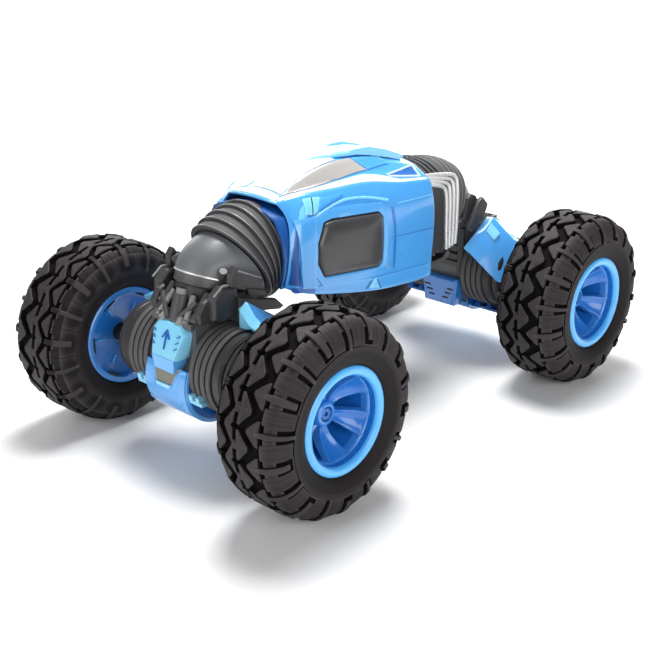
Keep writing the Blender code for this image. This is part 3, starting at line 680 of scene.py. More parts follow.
def make_neck(name, end):
    """The smooth dome, its pale seam, the slotted collar under it, and the journal behind."""
    dome = smooth_path(DOMES[name], 5)
    tilt, x, z, radius = dome[-1]
    rings = [circle((mid_x, mid_z), lean, reach) for lean, mid_x, mid_z, reach in dome]
    rings.append(circle((x, z), tilt, 8))
    for distance, reach in ((4, 6.2), (-5.6, 6.2), (-5.6, 17), (-3.4, 17), (-3.4, 14), (0.35, 14),
                            (0.35, 21.4)):
        rings.append(circle(along(end, distance), end["tilt"], reach))

    seam_rings = [circle((x + 0.35 * k, z - 0.95 * k), tilt, radius + lift)
                  for k, lift in ((-0.3, -1.0), (0, 0.35), (0.55, 0.4), (1.0, -1.0))]
    fall = z - (CASE_TOP - 0.4)
    collar = [circle((x + 0.2, z - 0.5), tilt, radius - 0.5)]
    for share_x, share_z, lean, shrink in ((0.13, 0.32, tilt + 2, 0.7), (0.17, 0.36, tilt + 4, 2.2),
                                           (0.28, 0.62, (tilt + 90) / 2, 3.4), (0.3, 1, 90, 4.2),
                                           (0.3, 1, 90, radius - 6)):
        collar.append(circle((x + share_x * fall, z - share_z * fall), lean, radius - shrink))
    collar.append(circle((x + 0.2, z - 0.5), tilt, 6))
    # Painted shade: dark marks for the collar's slots
    slots = bmesh.new()
    reach = radius - 0.55
    for k in range(13):
        turn = radians(-96 + 16 * k)
        foot = Vector((x + 1.0 + 0.94 * reach * cos(turn), reach * sin(turn),
                       z - 2.6 - 0.33 * reach * cos(turn)))
        box(slots, (-0.25, -0.35, -1.2), (0.25, 0.35, 1.2),
            Matrix.Translation(foot) @ Matrix.Rotation(turn, 4, "Z"))
    core = bmesh.new()
    box(core, (84, -15, CASE_TOP - 1), (112, 15, CASE_TOP + 6))
    rod(core, (93, -17, 95), (93, 17, 95), 4.5, 24)
    make_module_pieces(name, end, 40, ("neck_dome", skin(rings, True), "dome_plastic", 0, "neck_housing"),
                       ("neck_seam", skin(seam_rings, True), "silver", 0),
                       ("collar_slots", slots, "gap_black", 0), ("neck_core", core, "dark_plastic", 0.8))
    make_module_pieces(name, end, 30, ("neck_collar", skin(collar, True), "dark_plastic", 0))


def make_bellows(name, side, end):
    """Four flat-topped soft ribs round a half axle, and the dark drum outside them."""
    start, stop = bellows_low.y, bellows_high.y
    drum = start + 0.74 * (stop - start)
    rib = (drum - start) / 4
    outside = [(BELLOWS_RADIUS - 2.0, start)]
    for k in range(4):
        foot = start + k * rib
        for share, drop in ((0.08, 1.8), (0.12, 0.5), (0.25, 0.05), (0.5, 0.0), (0.75, 0.05),
                            (0.88, 0.5), (0.92, 1.8)):
            outside.append((BELLOWS_RADIUS - drop, foot + share * rib))
    outside.append((BELLOWS_RADIUS - 2.0, drum))
    spot = Vector((end["sign"] * BELLOWS_X, 0, BELLOWS_Z)) * MM
    place = Matrix.Translation(spot) @ Matrix.Rotation(-side * pi / 2, 4, "X")
    make(f"{name}_bellows_ribs", turned(outside + [(19.6, drum), (19.6, start)], 96), "rib_rubber",
         end["body"], 32, (f"{name}_bellows",), place)
    profile = [(BELLOWS_RADIUS - 2.2, drum), (BELLOWS_RADIUS - 1.2, drum + 0.6),
               (BELLOWS_RADIUS - 1.2, stop - 1.2), (BELLOWS_RADIUS - 2.4, stop), (19.6, stop), (19.6, drum)]
    make(f"{name}_bellows_drum", turned(profile, 96), "black_plastic", end["body"], 32, (), place)


# ---------------------------------------------------------------- module castings

case_low, case_high = node_mm("front_gearbox_case")
CASE_TOP = case_high.z
CHIN_X = AXLE_X + 3
CHIN_Z = 47.5
CHIN_RADIUS = 22.2


def band(rows):
    """A closed loop of equal open rows, with flat ends: a wall with thickness."""
    bm = bmesh.new()
    grid = [[bm.verts.new(point) for point in row] for row in rows]
    for k, row in enumerate(grid):
        after = grid[(k + 1) % len(grid)]
        for j in range(len(row) - 1):
            bm.faces.new((row[j], row[j + 1], after[j + 1], after[j]))
    for j in (0, -1):
        bm.faces.new([row[j] for row in grid])
    return bm


def arc(centre, radius, start, stop, steps):
    """Points along an XZ arc, in degrees from +X upwards."""
    turns = [radians(start + (stop - start) * k / steps) for k in range(steps + 1)]
    return [(centre[0] + radius * cos(t), centre[1] + radius * sin(t)) for t in turns]


def chin_plate(outline, top, side=1, bm=None):
    """A plate laid on the barrel guard over a (y, degrees round the barrel) outline."""
    rings = []
    for lift in (-1.0, top):
        reach = CHIN_RADIUS + 0.4 + lift
        rings.append([(CHIN_X + reach * cos(radians(turn)), side * y, CHIN_Z + reach * sin(radians(turn)))
                      for y, turn in outline])
    return skin(rings, bm=bm)


def chin_barrel():
    """The barrel guard: a curved wall with rolled edges."""
    levels = [(-15.6, 2.3), (-15.6, 0.9), (-14.7, 0.1), (-9, 0), (0, 0), (9, 0), (14.7, 0.1),
              (15.6, 0.9), (15.6, 2.3), (15.0, 2.7), (-15.0, 2.7)]
    rows = [[(x, y, z) for x, z in arc((CHIN_X, CHIN_Z), CHIN_RADIUS + 0.4 - drop, -128, 26, 40)]
            for y, drop in levels]
    return band(rows)


def make_chin(name, end):
    """The barrel guard with its end walls and tabs, its inset panel and the faceted badge block."""
    caps, tabs, cheeks = bmesh.new(), bmesh.new(), bmesh.new()
    face = arc((CHIN_X, CHIN_Z), CHIN_RADIUS + 0.2, -128, 26, 40) + [(AXLE_X + 12, 58), (AXLE_X - 12, 52)]
    tab = [(CHIN_X + x, z) for x, z in ((20.6, 43.0), (21.4, 46.4), (16.6, 47.0), (16.0, 43.4))]
    bar = [(CHIN_X + x, z) for x, z in ((19.6, 41.0), (20.4, 43.6), (12, 43.6), (12, 41.0))]
    cheek = [(10.6, 25), (14.9, 26), (14.9, -30), (12.4, -34), (6.6, -2), (6.6, 3)]
    for side in (1, -1):
        prism(caps, face, side * 14.0, side * 15.2)
        prism(tabs, tab, side * 15.8, side * 18.6)
        prism(tabs, tab, side * 21.0, side * 23.6)
        prism(tabs, bar, side * 15.2, side * 24.4)
        chin_plate(cheek, 0.7, side, cheeks)
    wedge = [(134.4, -8.4, 62.4), (134.4, 8.4, 62.4), (133.6, 7.4, 54.6), (133.6, -7.4, 54.6)]
    front = [(128.9, -7.4, 78.6), (128.9, 7.4, 78.6), (129.6, 11.0, 74.2), (134.2, 8.0, 62.0),
             (134.2, -8.0, 62.0), (129.6, -11.0, 74.2)]
    mid = [(x - 2.4, y * 1.1, 70.5 + (z - 70.5) * 1.08) for x, y, z in front]
    make_module_pieces(
        name, end, 36, ("chin_barrel", chin_barrel(), "body_blue", 0, "chin_guard"),
        ("chin_caps", caps, "recess_blue", 0.25), ("chin_tabs", tabs, "badge_cyan", 0.35),
        ("chin_inset", chin_plate([(-9.8, 25), (9.8, 25), (5.4, 3), (-5.4, 3)], 0.5), "inset_grey", 0.3),
        ("chin_strip", chin_plate([(-5.6, 2.6), (5.6, 2.6), (4.8, -2.2), (-4.8, -2.2)], 1.3),
         "badge_cyan", 0.3), ("chin_cheeks", cheeks, "body_blue", 0.5),
        ("badge_wedge", skin([[(125, y, z) for _, y, z in wedge], wedge]), "body_blue", 0.6))
    make_module_pieces(name, end, 25, ("badge_plate", skin([[(123.5, y, z) for _, y, z in mid], mid,
                                                            front]), "badge_cyan", 0.35))
    make_badge_marks(name, end)


def make_badge_marks(name, end):
    """A plain arrow and small tick marks on the badge plate."""
    bm = bmesh.new()
    slope = (134.2 - 128.9) / (62.0 - 78.6)

    def mark(y0, z0, y1, z1, half):
        run = Vector((y1 - y0, z1 - z0)).normalized()
        across = Vector((-run.y, run.x)) * half
        corners = [(y0 + across.x, z0 + across.y), (y1 + across.x, z1 + across.y),
                   (y1 - across.x, z1 - across.y), (y0 - across.x, z0 - across.y)]
        rings = [[(128.9 + slope * (z - 78.6) + lift, y, z) for y, z in corners]
                 for lift in (-0.5, 0.45)]
        skin(rings, bm=bm)

    mark(0, 75.2, -2.6, 71.2, 0.35)
    mark(0, 75.2, 2.6, 71.2, 0.35)
    mark(0, 75.2, 0, 66.0, 0.35)
    for side in (1, -1):
        for k in range(3):
            z = 73.2 - 3.0 * k
            reach = 7.8 - 0.35 * k
            mark(side * reach, z, side * (reach + 1.8), z + 1.0, 0.28)
    make_module_pieces(name, end, 36, ("badge_marks", bm, "recess_blue", 0))


# Armour plates on both sides of the neck: (XZ outline, inner y, outer y, edge inset)
REAR_PLATES = [
    ([(85.0, 102.6), (89.6, 104.6), (93.6, 102.8), (96.6, 98.6), (85.4, 88.0), (81.6, 91.0)],
     14.4, 20.6, 0.8),
    ([(91.6, 100.2), (95.4, 102.2), (100.6, 97.4), (99.4, 93.6), (86.4, 82.4), (82.6, 86.8)],
     21.0, 24.4, 0.6),
    ([(100, 92), (108, 90), (118, 84), (122, 78.6), (104, 80)], 8, 15, 1.2),
]
FRONT_PANELS = [
    ([(105.4, 95.8), (105.4, 104.3), (88.8, 96.6), (85.9, 88.3)], 21.4, 23.6, 0.3),
    ([(104.6, 96.2), (104.8, 106.0), (106.4, 107.6), (109.2, 104.4), (109.6, 97.6)], 20.8, 25.0, 0.7),
]
FRONT_BLOCKS = [
    ([(103.0, 89.5), (103.8, 96.8), (113.6, 98.2), (119.2, 94.0), (119.4, 82.6), (113.2, 80.0),
      (105.0, 81.5)], 16.8, 23.2, 1.3),
    ([(118.0, 92.4), (122.0, 91.0), (125.4, 85.4), (124.2, 80.6), (118.4, 80.2)], 14.4, 18.6, 0.9),
]
FRONT_WEDGES = [
    ([(105.6, 91.4), (80.6, 84.8), (75.4, 79.9), (78.2, 78.8), (93, 81.6), (106.4, 80.4)],
     22.4, 26.4, 0.7),
    ([(98, 90.4), (84.4, 87.2), (87, 91.0), (99, 94.6)], 21.8, 24.6, 0.4),
]
RAILS = [[(105.2, 23.4, 104.9), (88.6, 23.4, 97.2)],
         [(104.6, 22.7, 98.0), (113.4, 22.7, 98.9), (119.2, 22.7, 94.8)]]
# Rods on both sides in front of the neck: (start, end, radius)
FITTING_RODS = [((127.2, 3.2, 80.4), (121.6, 12.4, 90.2), 1.2),
                ((113.6, 12.6, 92.6), (125.0, 13.0, 80.4), 2.2),
                ((117.6, 10.6, 86.4), (121.0, 14.4, 86.0), 2.6),
                ((107.0, 15.4, 99.4), (108.6, 18.2, 104.4), 2.2)]
DETAIL_RODS = [((118.4, 7, 91.5), (127.2, 10.2, 80.2), 1.5), ((125.0, 5.8, 81.4), (128.2, 6.8, 78.8), 2.2),
               ((121.0, 14.4, 86.0), (122.2, 16.4, 85.8), 1.6)]


def plates(shapes):
    """Prisms on both sides."""
    bm = bmesh.new()
    for side in (1, -1):
        for outline, inner, outer, inset in shapes:
            prism(bm, outline, side * inner, side * outer, inset)
    return bm


def rods(bm, shapes):
    """Rods on both sides."""
    for side in (1, -1):
        for start, end, radius in shapes:
            rod(bm, *mirrored((start, end), side), radius)


def make_yoke(name, end):
    """Armour round the neck: plates, and at the front also rails and the fittings between."""
    if name == "rear":
        armour = plates(REAR_PLATES)
        box(armour, (122.4, -14.5, 77.4), (127.2, 14.5, 80.4))
        make_module_pieces(name, end, 30, ("yoke_plates", armour, "dark_plastic", 0.3, "armour_yoke"))
        return
    rails, fittings, details = bmesh.new(), bmesh.new(), bmesh.new()
    rod(fittings, (122.8, 0, 79), (119.8, 0, 91.4), 5.0, 24, 3.9)
    rod(details, (119.9, 0, 91.2), (119.2, 0, 94.2), 3.0, 24)
    rods(fittings, FITTING_RODS)
    rods(details, DETAIL_RODS)
    for side in (1, -1):
        for path in RAILS:
            tube(rails, mirrored(path, side), 0.6, 8)
        box(fittings, (123.0, side * 10.4 - 2.2, 78.6), (127.6, side * 10.4 + 2.2, 82.6))
    box(fittings, (123.4, -14.5, 77.4), (127.4, 14.5, 80.4))
    make_module_pieces(name, end, 30,
                       ("yoke_panels", plates(FRONT_PANELS), "dark_plastic", 0.3, "armour_yoke"),
                       ("yoke_blocks", plates(FRONT_BLOCKS), "dark_plastic", 0.3),
                       ("yoke_wedges", plates(FRONT_WEDGES), "black_plastic", 0.3),
                       ("yoke_rails", rails, "grey_trim", 0))
    make_module_pieces(name, end, 36, ("neck_fittings", fittings, "dark_plastic", 0.25),
                       ("neck_details", details, "grey_trim", 0.25))


# The hood over a half axle: (y, XZ outline) from the inner end outwards
HOOD = [
    (23.5, [(105.2, 86.6), (101.0, 88.9), (92, 83.2), (84, 78.0), (78.1, 74.4),
            (80.5, 72.0), (85.5, 75.0), (93, 79.4), (100, 83.2), (104.2, 82.2)]),
    (27.5, [(107.2, 86.2), (102.4, 89.2), (92.6, 82.6), (84.8, 76.2), (79.4, 71.4),
            (82.0, 69.2), (87.0, 72.6), (94, 78.0), (101, 79.6), (107.6, 75.8)]),
    (34, [(107.6, 80.2), (103.2, 83.6), (94, 77.4), (87.4, 69.8), (82.6, 64.4),
          (85.6, 62.6), (90.0, 67.4), (96, 74.0), (102, 78.6), (105.8, 77.4)]),
    (42, [(107.4, 77.6), (102.6, 78.6), (96, 70.4), (91, 61.4), (87.2, 55.5),
          (90.4, 53.5), (94.4, 59.4), (99.4, 67.4), (103.4, 74.4), (106, 74.0)]),
    (47, [(107.2, 75.6), (103, 76.4), (97, 68.8), (92.6, 60.4), (89.6, 55.0),
          (92, 53.5), (95.6, 59.0), (100, 66.4), (103.8, 73.0), (105.8, 73.0)]),
]
# Painted highlight: a pale pad on the rear hood's top facet, where the light falls
HOOD_HIGHLIGHT_PAD = [(98.4, 28.4, 86.8), (93.4, 28.8, 82.6), (93.8, 34.6, 78.0), (98.8, 35.4, 81.1)]
# The hub carrier's closed (radius, y) profile; its centre slides from the bellows to the axle
CARRIER = [(2.35, 37.2), (19.6, 37.2), (20.2, 38.0), (20.2, 41.0), (18.6, 42.6), (16.0, 43.4),
           (15.0, 45.0), (10.6, 46.0), (6.0, 46.6), (5.0, 47.6), (5.0, 71.8), (2.35, 71.8)]


def make_arm(name, side, end):
    """A faceted hood over the bellows, the dished hub carrier with its tube, and the skid."""
    local = side * end["sign"]
    hood = make(f"{name}_hood", skin([[(x, local * y, z) for x, z in outline] for y, outline in HOOD]),
                "body_blue", end["body"], 26, (f"{name}_arm",), module_place(end), 0.4, ("badge_cyan",))
    # Painted highlight: the upper facets that face out along the car take the paler cyan
    for face in hood.data.polygons:
        if face.normal.x > 0.3 and face.center.z > 70 * MM:
            face.material_index = 1
    # Painted highlight on the rear hood's top facet
    if end["sign"] < 0:
        shapes = [[(x, local * y, z + up) for x, y, z in HOOD_HIGHLIGHT_PAD] for up in (-1.6, 0.2)]
        make_module_pieces(name, end, 26, ("hood_highlight", skin(shapes), "panel_blue", 0.15))

    rows = []
    for radius, out in CARRIER:
        blend = min(1, max(0, (radius - 5) / 14))
        mid_x = AXLE_X + (BELLOWS_X - AXLE_X) * blend
        mid_z = AXLE_Z + (BELLOWS_Z - AXLE_Z) * blend
        rows.append([(mid_x + x, local * out, mid_z + z) for x, z in ring_points(radius, 64)])

    skid = bmesh.new()
    corners = ((-7, -2.4), (7, -2.4), (7, 2.4), (-7, 2.4))
    for y in (18.5, 27.0, 35.0):
        skin([[(BELLOWS_X + dx * narrow, local * (y + dy * short), BELLOWS_Z - depth) for dx, dy in corners]
              for narrow, short, depth in ((1, 1, 25.4), (0.8, 0.6, 22.2))], bm=skid)
    box(skid, (BELLOWS_X - 6, min(local * 15, local * 38), BELLOWS_Z - 26.6),
        (BELLOWS_X + 6, max(local * 15, local * 38), BELLOWS_Z - 24.6))
    make_module_pieces(name, end, 36, ("hub_carrier", skin(rows, True), "dark_plastic", 0.2),
                       ("skid", skid, "recess_blue", 0.4))


def make_vent(name, end):
    """The slotted panel low on the module's inner face, and the ribbed wall over it."""
    front = case_low.x
    outline = both_sides([(-12.5, 49), (-13.4, 45), (-11.4, 31.5)])
    panel_rings = [[(front + 4, y, z) for y, z in outline], [(front - 3.6, y, z) for y, z in outline],
                   [(front - 4.8, y * 0.9, 40 + (z - 40) * 0.88) for y, z in outline]]
    slots, wall = bmesh.new(), bmesh.new()
    # Painted shade: dark marks for the panel's slots
    for k in range(3):
        for side in (1, -1):
            y, z = side * (5.2 + 1.8 * k), 36.0 + 3.0 * k
            box(slots, (front - 5.1, y - 2.2, z), (front - 4.4, y + 2.2, z + 0.9))
    for k in range(5):
        z = 56.5 + 5.2 * k
        box(wall, (front - 1.6 - 0.5 * (k % 2), -13.6, z), (front + 2, 13.6, z + 3.4))
    for side in (1, -1):
        rod(wall, (front - 0.6, side * 13.2, 52), (front - 0.6, side * 13.2, 82), 2.4)
    make_module_pieces(name, end, 30, ("vent_panel", skin(panel_rings), "rim_blue", 0.4))
    make_module_pieces(name, end, 36, ("vent_slots", slots, "gap_black", 0),
                       ("inner_wall", wall, "black_plastic", 0.4))


def make_module(name, end):
    """Everything that turns with one twist joint."""
    make_neck(name, end)
    make_chin(name, end)
    make_yoke(name, end)
    make_vent(name, end)
    for side_name, side in SIDES.items():
        make_bellows(f"{name}_{side_name}", side, end)
        make_arm(f"{name}_{side_name}", side, end)


# ---------------------------------------------------------------- body

# The shell's left half: x, then (y, z) from the skirt to the crest
BODY_ROWS = [
    (75.6, [(26.6, 89), (27.8, 92.5), (29.2, 98), (29.9, 105), (28.6, 115), (23.6, 124.2), (17.6, 130.0),
          (13, 131.3), (9, 131.7), (5, 131.9), (0, 132.0)]),
    (71.6, [(28.6, 87.0), (29.9, 91.5), (31.2, 98), (31.9, 106), (30.4, 117), (25.2, 126.4), (18.8, 131.4),
          (13.6, 131.6), (9.8, 132.0), (5.2, 132.3), (0, 132.4)]),
    (63, [(30.4, 83.4), (31.4, 89.5), (32.5, 97.5), (33.1, 106), (31.6, 118), (27.6, 128.0), (21.6, 133.4),
          (12.6, 131.4), (10.6, 132.0), (5.6, 132.9), (0, 133.2)]),
    (50, [(31.2, 80.4), (32.2, 87), (33.2, 96.5), (33.7, 106), (32.4, 118), (29.2, 127.4), (23.8, 133.4),
          (13.8, 132.5), (11.0, 136.4), (6, 137.7), (0, 138.1)]),
    (36, [(31.6, 77.4), (32.6, 85), (33.6, 96), (34.0, 106), (32.8, 117), (30.0, 126.2), (25.2, 132.6),
          (15.4, 133.2), (11.1, 140.0), (6, 141.3), (0, 141.7)]),
    (22, [(31.7, 74.6), (32.7, 83.6), (33.7, 95), (34.1, 106), (33.0, 117), (30.3, 126.4), (26.2, 132.8),
          (16.6, 133.8), (10.9, 141.6), (6, 142.9), (0, 143.3)]),
    (8, [(31.7, 72.0), (32.6, 82), (33.7, 94), (34.1, 106), (33.1, 116.5), (30.5, 125.4), (27.0, 131.4),
         (17.9, 134.8), (11.2, 141.2), (6, 142.9), (0, 143.4)]),
    (-8, [(31.5, 70.4), (32.4, 81), (33.5, 93.5), (33.9, 105), (32.9, 115.6), (30.4, 122.8), (27.8, 127.6),
          (18.6, 133.4), (12.6, 138.8), (6.5, 140.9), (0, 141.5)]),
    (-22, [(31.3, 69.2), (32.0, 80), (33.1, 93), (33.5, 104), (32.6, 114.6), (30.2, 121.4), (28.3, 125.6),
           (20.0, 130.8), (14.6, 134.8), (7.5, 137.4), (0, 138.5)]),
    (-32, [(31.0, 68.6), (31.6, 79.5), (32.6, 92), (33.0, 104), (32.0, 114), (30.0, 120.6), (28.4, 124.6),
           (21.0, 129.2), (16.2, 132.4), (8.5, 134.7), (0, 135.6)]),
    (-38, [(30.8, 69.6), (31.0, 80), (31.8, 92), (32.2, 104), (31.4, 113.6), (29.6, 120.2), (28.2, 124.0),
           (21.4, 128.3), (16.6, 131.0), (9, 133.0), (0, 133.8)]),
]
# How far the front edge is cut back at each of those points
FRONT_CUT = (0, 0, 0.2, 0.6, 2.4, 6.0, 4.1, 3.0, 2.8, 2.6, 2.6)
CREST_ROW = 6
GLASS_ROW = 7


def make_body_skin():
    """The main shell: a creased cage, mirrored, smoothed and thickened."""
    bm = bmesh.new()
    cuts = (1, 0.6) + (0,) * (len(BODY_ROWS) - 2)
    rows = [[bm.verts.new((x - cut * back, y, z)) for (y, z), back in zip(points, FRONT_CUT)]
            for (x, points), cut in zip(BODY_ROWS, cuts)]
    for first, second in zip(rows, rows[1:]):
        for k in range(len(first) - 1):
            bm.faces.new((first[k], second[k], second[k + 1], first[k + 1]))
    crease = bm.edges.layers.float.new("crease_edge")
    for first, second in zip(rows, rows[1:]):
        for k, weight in ((0, 1.0), (1, 0.35), (CREST_ROW, 0.85), (GLASS_ROW, 0.75), (8, 0.6)):
            bm.edges.get((first[k], second[k]))[crease] = weight
    for row in (rows[0], rows[-1]):
        for first, second in zip(row, row[1:]):
            bm.edges.get((first, second))[crease] = 1.0
    shell = make("body_skin", bm, "body_blue", "chassis", 60, ("body_shell",))
    mirror = shell.modifiers.new("mirror", "MIRROR")
    mirror.use_axis = (False, True, False)
    mirror.merge_threshold = 0.00001
    smooth = shell.modifiers.new("smooth", "SUBSURF")
    smooth.levels = 3
    smooth.render_levels = 3
    thick = shell.modifiers.new("thick", "SOLIDIFY")
    thick.thickness = 1.2 * MM
    thick.offset = -1
    return shell


class Drape:
    """Finds the shell's outside, from the side or from above."""

    def __init__(self, shell):
        bpy.context.view_layer.update()
        graph = bpy.context.evaluated_depsgraph_get()
        self.tree = BVHTree.FromObject(shell, graph)

    def cast(self, start, run, miss, lift):
        """The surface point that a ray meets, moved out by `lift`."""
        hit, normal, _, _ = self.tree.ray_cast(Vector(start) * MM, Vector(run))
        if hit is None:
            return Vector(miss)
        if normal.dot(Vector(run)) > 0:
            normal = -normal
        return hit / MM + normal * lift

    def side(self, x, z, lift):
        """The left side's surface at (x, z)."""
        return self.cast((x, 80, z), (0, -1, 0), (x, 30 + lift, z), lift)

    def top(self, x, y, lift):
        """The roof's surface at (x, y)."""
        return self.cast((x, y, 300), (0, 0, -1), (x, y, 130 + lift), lift)


def resample(path, count):
    """Evenly spaced points along a 2D polyline."""
    points = [Vector(point) for point in path]
    lengths = [0.0]
    for first, second in zip(points, points[1:]):
        lengths.append(lengths[-1] + (second - first).length)
    result = []
    for k in range(count + 1):
        target = lengths[-1] * k / count
        for j in range(len(points) - 1):
            if target <= lengths[j + 1] or j == len(points) - 2:
                span = max(lengths[j + 1] - lengths[j], 1e-9)
                result.append(points[j].lerp(points[j + 1], min((target - lengths[j]) / span, 1)))
                break
    return result


def sheet(rows, closed=False):
    """Quads through rows of points; `closed` joins each row's end to its start."""
    bm = bmesh.new()
    grid = [[bm.verts.new(point) for point in row] for row in rows]
    for low, high in zip(grid, grid[1:]):
        for k in range(len(low) - (not closed)):
            after = (k + 1) % len(low)
            bm.faces.new((low[k], low[after], high[after], high[k]))
    return bm


def panel(drape_point, edge_a, edge_b, side, height, columns, rows):
    """A raised panel between two edges, laid on the shell, with its border rolled under."""
    first, second = resample(edge_a, columns), resample(edge_b, columns)
    grid = []
    for j in range(-1, rows + 2):
        row = []
        for k in range(-1, columns + 2):
            across = min(max(k, 0), columns)
            spot = first[across].lerp(second[across], min(max(j / rows, 0), 1))
            lift = height
            if j < 0 or j > rows or k < 0 or k > columns:
                lift = -0.6
            elif j in (0, rows) or k in (0, columns):
                lift = 0.88 * height
            point = drape_point(spot.x, spot.y, lift)
            row.append((point.x, side * point.y, point.z))
        grid.append(row)
    return sheet(grid)


def ring_panel(drape_point, inner, outer, levels, side):
    """A raised ring between two closed outlines; levels are (share, lift) from inside to out."""
    inside = resample(list(inner) + [inner[0]], 96)[:-1]
    outside = resample(list(outer) + [outer[0]], 96)[:-1]
    grid = []
    for share, lift in levels:
        spots = [a.lerp(b, share) for a, b in zip(inside, outside)]
        grid.append(mirrored([drape_point(spot.x, spot.y, lift) for spot in spots], side))
    return sheet(grid, True)


def seam(drape_point, path, side, radius, count=30, lift=0.0):
    """A thin line laid on the shell."""
    points = [drape_point(spot.x, spot.y, lift) for spot in resample(path, count)]
    return tube(bmesh.new(), mirrored(points, side), radius, 8)


WINDOW = [(52.6, 91.4), (57.6, 99.6), (57.4, 109.6), (52.0, 118.6), (46.0, 119.2), (11.6, 116.2),
          (9.0, 113.4), (8.8, 88.8), (11.4, 87.2)]
FRAME_INNER = [(53.0, 90.7), (58.3, 99.2), (58.1, 110.0), (52.5, 119.4), (46.1, 120.0), (11.2, 117.0),
               (8.2, 113.9), (8.0, 88.2), (11.2, 86.5)]
FRAME_OUTER = [(52.6, 84.6), (62.0, 95.6), (61.4, 111.6), (56.0, 123.8), (44.0, 125.6), (7.6, 121.8),
               (1.4, 116.4), (0.2, 83.8), (7.4, 80.4)]


def make_window(name, side, drape):
    """One side's cushioned window, its frame, and the gap between them painted dark as shade."""
    window = rounded(WINDOW, 1.6, 4)
    centre = sum((Vector(p) for p in window), Vector((0, 0))) / len(window)
    rings = []
    for share, lift in ((1.0, -0.6), (1.0, 0.5), (0.975, 1.2), (0.9, 1.8), (0.78, 2.3), (0.5, 2.7),
                        (0.2, 2.8)):
        spots = [centre + (p - centre) * share for p in resample(window + [window[0]], 96)[:-1]]
        rings.append(mirrored([drape.side(spot.x, spot.y, lift) for spot in spots], side))
    make(f"{name}_window_cushion", skin(rings), "window_black", "chassis", 60, (f"{name}_window",))
    inner, outer = rounded(FRAME_INNER, 1.8, 4), rounded(FRAME_OUTER, 2.6, 4)
    levels = [(0, -0.6), (0, 0.4), (0.06, 0.8), (0.5, 0.8), (0.9, 0.7), (1.0, -0.5)]
    make(f"{name}_window_frame", ring_panel(drape.side, inner, outer, levels, side), "body_blue")
    # Painted shade in the gap between window and frame
    glazing = [tuple(centre + (Vector(p) - centre) * 0.985) for p in window]
    gap = ring_panel(drape.side, glazing, inner, [(0, 0.15), (1.0, 0.15)], side)
    make(f"{name}_window_gap", gap, "gap_black")


# Panels on both sides: where drawn, finish, two edges, height, columns and rows.
# "side" edges are (x, z) and "top" edges are (x, y).
PANELS = {
    # Painted shade: the recess in front of the pillar
    "front_recess": ("side", "navy", [(74.4, 91.0), (74.0, 104), (71.6, 113), (69.4, 118.6)],
                     [(67.6, 88.8), (70.2, 104), (69.8, 112), (68.4, 118.2)], 0.15, 16, 5),
    "front_pillar": ("side", "body_blue",
                     [(66.8, 88.0), (69.0, 97), (69.6, 108), (69.4, 118), (69.0, 122.4)],
                     [(57.8, 86.4), (60.2, 97), (60.0, 108), (58.6, 117), (56.4, 123.6)], 1.7, 24, 8),
    "pillar_cap": ("side", "panel_blue", [(68.2, 120.4), (66.4, 123.4), (64.6, 126.4)],
                   [(62.2, 121.6), (61.0, 125.4), (60.6, 129.6)], 0.9, 10, 8),
    "claw_front": ("side", "badge_cyan", [(62.6, 124.6), (60.6, 130.9)], [(59.2, 123.8), (55.9, 131.0)],
                   1.8, 8, 6),
    "claw_rear": ("side", "badge_cyan", [(58.4, 123.8), (54.9, 131.0)], [(55.4, 124.6), (50.4, 130.6)],
                  1.6, 8, 6),
    "claw_tail": ("side", "body_blue", [(50.4, 130.2), (33.6, 129.8)], [(54.8, 125.4), (36.0, 129.2)],
                  1.2, 16, 6),
    "side_crease": ("side", "rim_blue", [(0.4, 117.5), (-0.6, 102), (-1.6, 82.5)],
                    [(-1.6, 117.0), (-2.6, 102), (-3.4, 82.0)], 0.3, 20, 4),
    "skirt": ("side", "body_blue", [(72, 86.2), (50, 81.6), (10, 73.4), (-36, 69.6)],
              [(72, 88.6), (50, 85.6), (10, 80.6), (-36, 77.0)], 0.7, 40, 5),
    "front_sill": ("side", "recess_blue", [(73.4, 87.2), (58.5, 83.4)], [(73.4, 89.0), (58.5, 86.0)],
                   0.8, 10, 3),
    "skirt_peak": ("side", "panel_blue", [(18.2, 76.2), (9.8, 74.6)], [(14.6, 81.0), (13.2, 80.8)],
                   1.6, 6, 4),
    # Painted shade: the scoop's hollow is a flat panel in darker blue
    "scoop_recess": ("top", "recess_blue", [(-8.4, 22.2), (-33.4, 18.4)], [(-9.0, 22.6), (-31.6, 24.0)],
                     0.15, 14, 5),
    # Painted highlight: the top-lit band along the crest, in near-white blue
    "shoulder": ("top", "pearl_blue", [(70.0, 16.2), (62, 14.2), (48, 17.4), (30, 17.8), (8, 19.2),
                                       (-5, 22.6), (-14, 25.6), (-36, 26.2)],
                 [(70.0, 17.8), (62, 21.4), (48, 23.2), (30, 24.8), (8, 26.4), (-5, 27.1), (-14, 27.5),
                  (-36, 27.6)], 0.35, 60, 6),
    "side_glass": ("top", "side_glass", [(63.0, 12.6), (48.2, 16.2), (28.7, 16.2), (3.6, 17.1)],
                   [(62.4, 12.2), (47.0, 9.9), (31.8, 9.9), (10.4, 10.4)], 0.55, 30, 8),
    "roof_quarter": ("top", "body_blue", [(9.4, 10.6), (-13.0, 10.4)], [(2.4, 17.0), (-16.8, 15.6)],
                     0.6, 14, 8),
}
# The window brow: a painted highlight line along the top of the frame's ridge
BROW = smooth_path([(56.6, 122.6), (50.7, 124.4), (42, 126.2), (32.3, 127.0), (18, 125.4), (2.6, 121.2)], 4)
